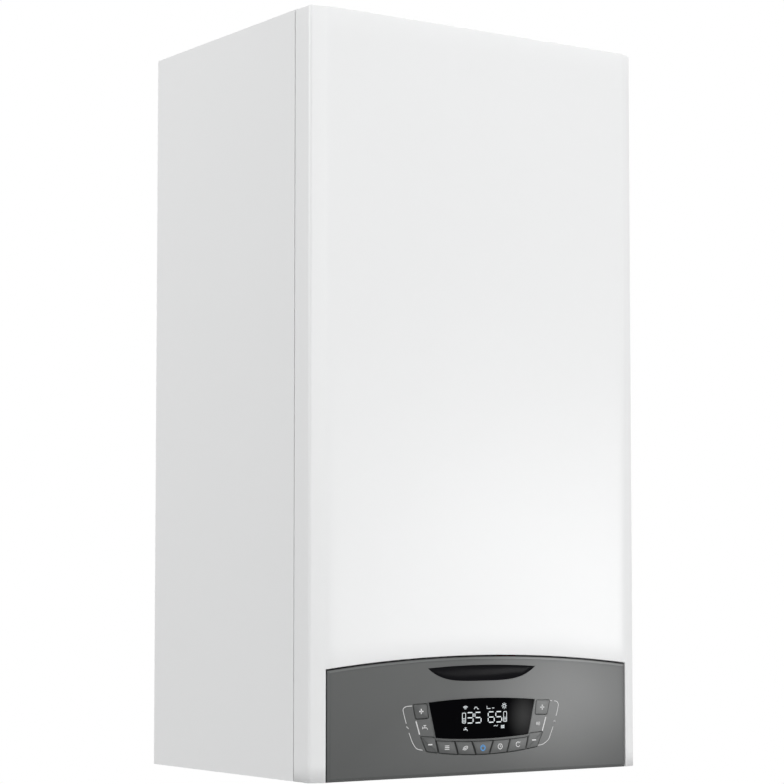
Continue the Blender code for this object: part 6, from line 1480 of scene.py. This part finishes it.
def makeFlowBlock():
    # hollowed block of the flow side, with the collars and bolts that stand on it
    low, high = blocks["flowX"]
    soft = turnedOff(low, high, 0.0022, (0.0006, 0.0007), 0.0024)
    piece = addPiece("flowBlock", [stackedRings(sideView(blocks["flowTop"], 0.012, 0.012), soft, "side")],
                     "black_plastic", "flow_manifold")
    gaps = [slabShape((low + at - 0.008, low + at + 0.008), (blocks["front"] - 0.014, blocks["front"] + 0.004),
                      (blocks["low"] - 0.004, plates["height"][0] - 0.004), 0.003) for at in (0.035, 0.085)]
    gaps.append(slabShape((low + 0.055, low + 0.110), (blocks["back"] + 0.020, blocks["back"] + 0.046),
                          (blocks["flowTop"] - 0.003, blocks["flowTop"] + 0.004), 0.004))
    carved(piece, gaps)
    parts = [plainRod((plates["x"][0] + 0.022, blocks["front"] - 0.003, blocks["bossHeight"]), "front", 0.012, 0.006,
                      48)]
    for x, depth, radius in ((-0.142, 0.095, 0.0150), (*diverter["spot"], 0.0185)):
        collar = softened([(0, 0.0002), (radius - 0.002, 0.0002), (radius, -0.001), (radius, -0.006), (0, -0.006)],
                          0.0006, 3)
        parts.append(turnedShape(collar, (x, depth, blocks["flowTop"]), "up", 64))
    for x in (low + 0.010, low + 0.060, high - 0.010):
        parts.append(boltHead(x, 0.070, blocks["front"] - 0.0004))
    addPiece("flowBlockBosses", parts, "black_plastic")


def saddled(x, depth, radius, top, lip):
    # upright stub whose foot follows the round volute: foot height = centre + root(radius² - offset²)
    stub = softened([(0, top), (radius - 0.0006, top), (radius, top - 0.0008), (radius, top - lip),
                     (radius - 0.0012, top - lip - 0.001), (radius - 0.0012, 0.212), (0, 0.212)], 0.0003, 2)
    points, faces = turnedShape(stub, (x, depth, 0.0), "up", 56)
    onFoot = points[:, 2] < 0.2130 + baseZ
    offset = points[:, 0] - pump["x"]
    seat = pump["height"] + np.sqrt(np.maximum((pump["volute"] - 0.0012) ** 2 - np.square(offset), 0))
    points[onFoot, 2] = seat[onFoot] + baseZ
    return points, faces


def makeReturnBlock():
    # block of the return side with the pump's volute, its stubs, valve seats and lugs
    low, high = blocks["returnX"]
    soft = turnedOff(low, high, 0.0022, (0.0006, 0.0007), 0.0024)
    parts = [stackedRings(sideView(blocks["returnTop"], 0.010, 0.012), soft, "side")]
    deep = blocks["front"] - pump["voluteBack"]
    cup = [(0, 0), (0.040, 0), (pump["volute"] - 0.002, 0.003), (pump["volute"], 0.007),
           (pump["volute"], deep - 0.010), (pump["volute"] - 0.0014, deep - 0.009),
           (pump["volute"] - 0.0014, deep - 0.007), (pump["volute"], deep - 0.006), (pump["volute"], deep),
           (pump["chamber"], deep), (pump["chamber"], 0.008), (0, 0.008)]
    parts.append(turnedShape(softened(cup, 0.0008, 3), (pump["x"], pump["voluteBack"], pump["height"]), "front", 120))
    neckX = (pump["x"] - 0.028, pump["x"] + 0.028)
    parts.append(slabShape(neckX, (pump["voluteBack"] + 0.004, blocks["front"] - 0.004), (0.125, 0.1535), 0.006))
    parts += [saddled(0.086, 0.105, 0.012, 0.246, 0.006), saddled(*vent["spot"], 0.009, 0.240, 0.004)]
    seat = [(0, 0.008), (0.0038, 0.008), (0.0038, 0.024), (0.0112, 0.024), (0.0126, 0.0228), (0.0126, 0), (0, 0)]
    parts.append(turnedShape(softened(seat, 0.0003, 2), (safety["x"], blocks["front"] - 0.004, safety["height"]),
                             "front", 56))
    tap = [(0, 0.010), (0.0043, 0.010), (0.0043, 0), (0.0084, 0), (0.0084, 0.016), (0, 0.016)]
    parts.append(turnedShape(tap, (*under["knob"], blocks["plateTop"] + 0.006), "up", 48))
    parts.append(plainRod((high - 0.007, blocks["back"] + 0.008, blocks["plateTop"]), "up", 0.006, 0.0247))
    parts.append(plainRod((plates["x"][1] - 0.012, blocks["front"] - 0.003, blocks["bossHeight"]), "front", 0.010,
                          0.006, 48))
    for x, height in ((0.072, 0.070), (0.118, 0.070), (0.157, 0.070), (0.157, 0.128), (0.088, 0.128)):
        parts.append(boltHead(x, height, blocks["front"] - 0.0004))
    lug = [(0, deep - 0.001), (0.0044, deep - 0.001), (0.0052, deep - 0.002), (0.0052, deep - 0.014),
           (0, deep - 0.016)]
    for degrees in range(-20, 201, 55):
        lugX, lugH = turnSpot(pump["x"], pump["height"], pump["lugs"], degrees)
        parts.append(turnedShape(lug, (lugX, pump["voluteBack"], lugH), "front", 32))
    addPiece("returnBlock", parts, "black_plastic", "return_manifold")


def makePump():
    # finned motor can with a bolted foot, a slotted vent screw and its terminal box
    radius, length, bore = pump["radius"], pump["length"], fan["shaft"] + fan["clear"]
    can = [(0, length - 0.0010), (0.0024, length - 0.0010), (0.0024, length - 0.0026), (0.0034, length - 0.0026),
           (0.0034, length), (0.0128, length), (0.0138, length - 0.001), (0.0147, length - 0.006),
           (0.020, length - 0.0066), (0.0205, length - 0.0082), (0.036, length - 0.0094),
           (radius * 0.9, length - 0.0105), (radius * 0.97, length - 0.0135), (radius, length - 0.018),
           (radius, length - 0.0200), (radius, 0.0240), (radius, 0.020), (radius - 0.0004, 0.018), (0.0425, 0.0165),
           (0.0422, 0.0095), (radius + 0.0036, 0.0085), (radius + 0.004, 0.0078), (radius + 0.004, 0.0004),
           (radius + 0.0036, 0), (bore, 0), (bore, 0.0345), (0, 0.0345)]
    deep = lobesFrom(can, 11, (0.0006, 0.0016, 0.0024, 0.0026, 0.0026))
    parts = [turnedShape(can, (pump["x"], pump["seat"], pump["height"]), "front", 320, 40, deep, 0.6)]
    parts += boltRing(pump["x"], pump["height"], pump["seat"] + 0.0076, pump["bolts"], 0.0031, 0.0030)
    addPiece("pumpMotor", parts, "cast_aluminium", "pump_motor")
    x0, top = pump["x"], pump["height"] + radius + 0.010
    back, front = pump["seat"] + 0.016, pump["seat"] + length - 0.016
    parts = [slabShape((x0 - 0.024, x0 + 0.024), (back, front), (pump["height"] + radius * 0.82, top - 0.006), 0.004),
             slabShape((x0 - 0.0246, x0 + 0.0246), (back - 0.0006, front + 0.0006), (top - 0.0052, top), 0.004)]
    for x, depth in ((x0 - 0.019, back + 0.005), (x0 + 0.019, front - 0.005)):
        parts.append(panScrew((x, depth, top - 0.0004), (0.0014, 0.0006), 0.0016, (0.0022, 0.0013), (0.0024, 0.0006)))
    gland = softened([(0, 0.0150), (0.0026, 0.0150), (0.0044, 0.0140), (0.0052, 0.0090), (0.0062, 0.0080),
                      (0.0062, 0), (0, 0)], 0.0004, 2)
    wavy = np.where((gland[:, 0] > 0.0050) & (gland[:, 1] > 0.0005), 0.0005, 0.0)
    parts.append(turnedShape(gland, (x0 - 0.0235, (back + front) / 2, top - 0.0125), "left", 72, 12, wavy))
    addPiece("pumpTerminals", parts, "black_plastic")


def makePlateExchanger():
    # pressed plates one behind the other, the front one with its herringbone and port rims
    (lowX, highX), (low, high) = plates["x"], plates["height"]
    waist, bulge = plates["waist"], plates["bulge"]
    outline = boxOutline(plates["x"], plates["height"], 0.013, 8)
    seat, pitch = plates["seat"], plates["thick"] / plates["count"]
    rings = [(waist, seat)]
    for index in range(plates["count"]):
        start = seat + pitch * index
        rings += [(inset, start + share * pitch) for inset, share in ((waist, 0.12), (bulge, 0.34), (bulge, 0.66),
                                                                      (waist, 0.88))]
    front = seat + plates["thick"]
    rings += [(waist, front - 0.0006), (0.0018, front), (0.0042, front), (0.0062, front - 0.0024)]
    parts = [stackedRings(outline, rings)]
    middle = (low + high) / 2
    for share in np.linspace(-0.30, 0.36, plates["chevrons"]):
        x = (lowX + highX) / 2 + share * (highX - lowX)
        line = softened([(x - 0.014, low + 0.011), (x + 0.004, middle), (x - 0.014, high - 0.011)], 0.004, 4)
        parts.append(strokeShape(line, plates["chevronWide"], front - 0.0036, front - 0.0002))
    rim = rolledEdges([(0.0085, 0.0028), (0.0085, 0), (0.0055, 0), (0.0055, 0.0022)], 0.0005)
    for x in (lowX + 0.011, highX - 0.011):
        parts += [ringLoop(rim, (x, front - 0.0030, height), "front", 48) for height in (low + 0.014, high - 0.014)]
    addPiece("plateExchanger", parts, "stainless", "plate_heat_exchanger", finish=pressedSteel)


def makeFittings():
    # air vent, diverter motor and the safety valve's knob
    tall, reach = vent["tall"], vent["radius"]
    profile = [(0, tall), (0.0022, tall), (0.0030, tall - 0.0008), (0.0030, tall - 0.005), (0.0072, tall - 0.0056),
               (0.0080, tall - 0.0064), (0.0080, tall - 0.0130), (0.0066, tall - 0.0138), (0.0066, tall - 0.0150),
               (reach - 0.002, tall - 0.0172), (reach, tall - 0.020), (reach, 0.0180), (reach - 0.0012, 0.0160),
               (reach - 0.0012, 0.0145), (reach, 0.0130), (reach, 0.0090), (0.0105, 0.0070), (0.009, 0.0), (0, 0)]
    lobed = lobesFrom(profile, 5, (0.0007, 0.0007))
    parts = [turnedShape(profile, (*vent["spot"], vent["foot"]), "up", 160, 20, lobed, 0.8),
             hexShape(*vent["spot"], vent["foot"] + 0.0010, 0.0132, 0.0062)]
    addPiece("airVent", parts, "brass", "air_vent")

    (x, depth), foot, tall, reach = (diverter[part] for part in ("spot", "foot", "tall", "radius"))
    profile = [(0, tall - 0.0012), (reach * 0.50, tall - 0.0012), (reach * 0.54, tall), (reach * 0.80, tall),
               (reach - 0.0008, tall - 0.003), (reach, tall - 0.0045), (reach, 0.0330), (reach - 0.0010, 0.0320),
               (reach - 0.0010, 0.0300), (reach, 0.0290), (reach, 0.0155), (reach - 0.001, 0.0140),
               (reach * 0.72, 0.0125), (reach * 0.70, 0.0110), (reach * 0.70, 0), (0, 0)]
    parts = [turnedShape(softened(profile, 0.0004, 2), (x, depth, foot), "up", 96)]
    front = depth + reach
    parts.append(slabShape((x - 0.009, x + 0.009), (front - 0.008, front + 0.008), (foot + 0.0217, foot + 0.0357),
                           0.0016))
    parts.append(slabShape((x - 0.0035, x + 0.0035), (front + 0.0074, front + 0.0094), (foot + 0.0240, foot + 0.0350),
                           0.0008))
    addPiece("diverterMotor", parts, "black_plastic", "diverter_motor")

    reach = safety["radius"]
    knob = [(0, 0.0186), (reach * 0.30, 0.0186), (reach * 0.36, 0.0200), (reach * 0.78, 0.0200),
            (reach * 0.92, 0.0190), (reach, 0.0168), (reach, 0.0100), (reach, 0.0032), (reach * 0.97, 0.0012),
            (reach * 0.90, 0.0), (0.0035, 0), (0.0035, -0.0120), (0, -0.0120)]
    lobed = lobesFrom(knob, 3, (0.0006, 0.0022, 0.0036, 0.0038, 0.0038, 0.0034, 0.0026))
    knob = turnedShape(knob, (safety["x"], safety["seat"], safety["height"]), "front", 180, 6, lobed, 2.2)
    addPiece("safetyKnob", [knob], "red_plastic", "safety_knob", body="safety_knob")


makeFlowBlock()
makeReturnBlock()
makePump()
makePlateExchanger()
makeFittings()
print("hydraulic blocks and fittings ready")


# ---- pipes

pipeRuns = dict(
    gasPipe=("gas_pipe", 0.009, [(0, 0.070, 0.060), (0, 0.070, 0.3394), (0.130, 0.170, 0.3394),
                                 (0.130, 0.170, 0.3991)]),
    flowPipe=("flow_pipe", 0.009, [(-0.152, 0.120, 0.4249), (-0.152, 0.120, 0.2959), (-0.142, 0.095, 0.2491),
                                   (-0.142, 0.095, 0.1503)]),
    returnPipe=("return_pipe", 0.009, [(0.086, 0.105, 0.2463), (0.086, 0.105, 0.282), (0.020, 0.120, 0.302),
                                       (0.020, 0.120, 0.4249)]),
    vesselPipe=("expansion_pipe", 0.006, [(0.100, 0.0443, 0.3985), (0.100, 0.0443, 0.3379), (0.056, 0.069, 0.2592),
                                          (0.056, 0.069, 0.1453)]),
)
pipeBend = 0.025
# per nut: side, depth and height of its foot, corner radius, height
pipeNuts = ((0, 0.070, 0.0606, 0.0135, 0.0120), (0.130, 0.170, 0.3862, 0.0145, 0.0125),
            (-0.152, 0.120, 0.4118, 0.0140, 0.0125), (-0.142, 0.095, 0.1508, 0.0140, 0.0125),
            (0.086, 0.105, 0.2466, 0.0140, 0.0120), (0.020, 0.120, 0.4118, 0.0140, 0.0125),
            (0.056, 0.069, 0.1456, 0.0096, 0.0090), (0.100, 0.0443, 0.3892, 0.0096, 0.0090))
hose = dict(radius=0.0090, ridge=0.0013, pitch=0.0046, cuff=0.022, rise=0.003, points=520,
            corners=[(-0.066, 0.200, 0.3927), (-0.066, 0.200, 0.3335), (-0.150, 0.172, 0.2443),
                     (-0.150, 0.172, 0.1646)], bands=((-0.066, 0.200, 0.3800), (-0.150, 0.172, 0.1720)))


def evenSteps(path, count):
    # the same line with points at even distances
    path = np.asarray(path, float)
    length = np.concatenate([[0], np.cumsum(np.linalg.norm(np.diff(path, axis=0), axis=1))])
    spots = np.linspace(0, length[-1], count)
    return np.stack([np.interp(spots, length, path[:, axis]) for axis in range(3)], axis=1), spots


def makePipes():
    for name, (node, radius, corners) in pipeRuns.items():
        addPiece(name, [tubeShape(bentPath(corners, pipeBend, 14), radius, 40)], "copper", node)
    addPiece("unionNuts", [hexShape(*nut) for nut in pipeNuts], "brass", crisp=40)

    # corrugated hose: radius = R - ridge * (0.5 - 0.5 cos(2 pi length / pitch)), plain cuffs at both ends
    path, spots = evenSteps(bentPath(hose["corners"], pipeBend, 14), hose["points"])
    fade = np.clip(np.minimum(spots - hose["cuff"], spots[-1] - hose["cuff"] - spots) / hose["rise"], 0, 1)
    wave = 0.5 - 0.5 * np.cos(2 * math.pi * spots / hose["pitch"])
    parts = [tubeShape(path, hose["radius"] - hose["ridge"] * fade * wave, 36)]
    band = rolledEdges([(0.0100, 0.0065), (0.0100, 0), (0.0088, 0), (0.0088, 0.0065)], 0.0003)
    for x, depth, low in hose["bands"]:
        parts.append(ringLoop(band, (x, depth, low), "up", 48))
        parts.append(slabShape((x - 0.0030, x + 0.0030), (depth + 0.0085, depth + 0.0135),
                               (low + 0.0008, low + 0.0058), 0.0006))
    addPiece("condensateHose", parts, "rubber", "condensate_hose")


makePipes()
print("pipes ready")
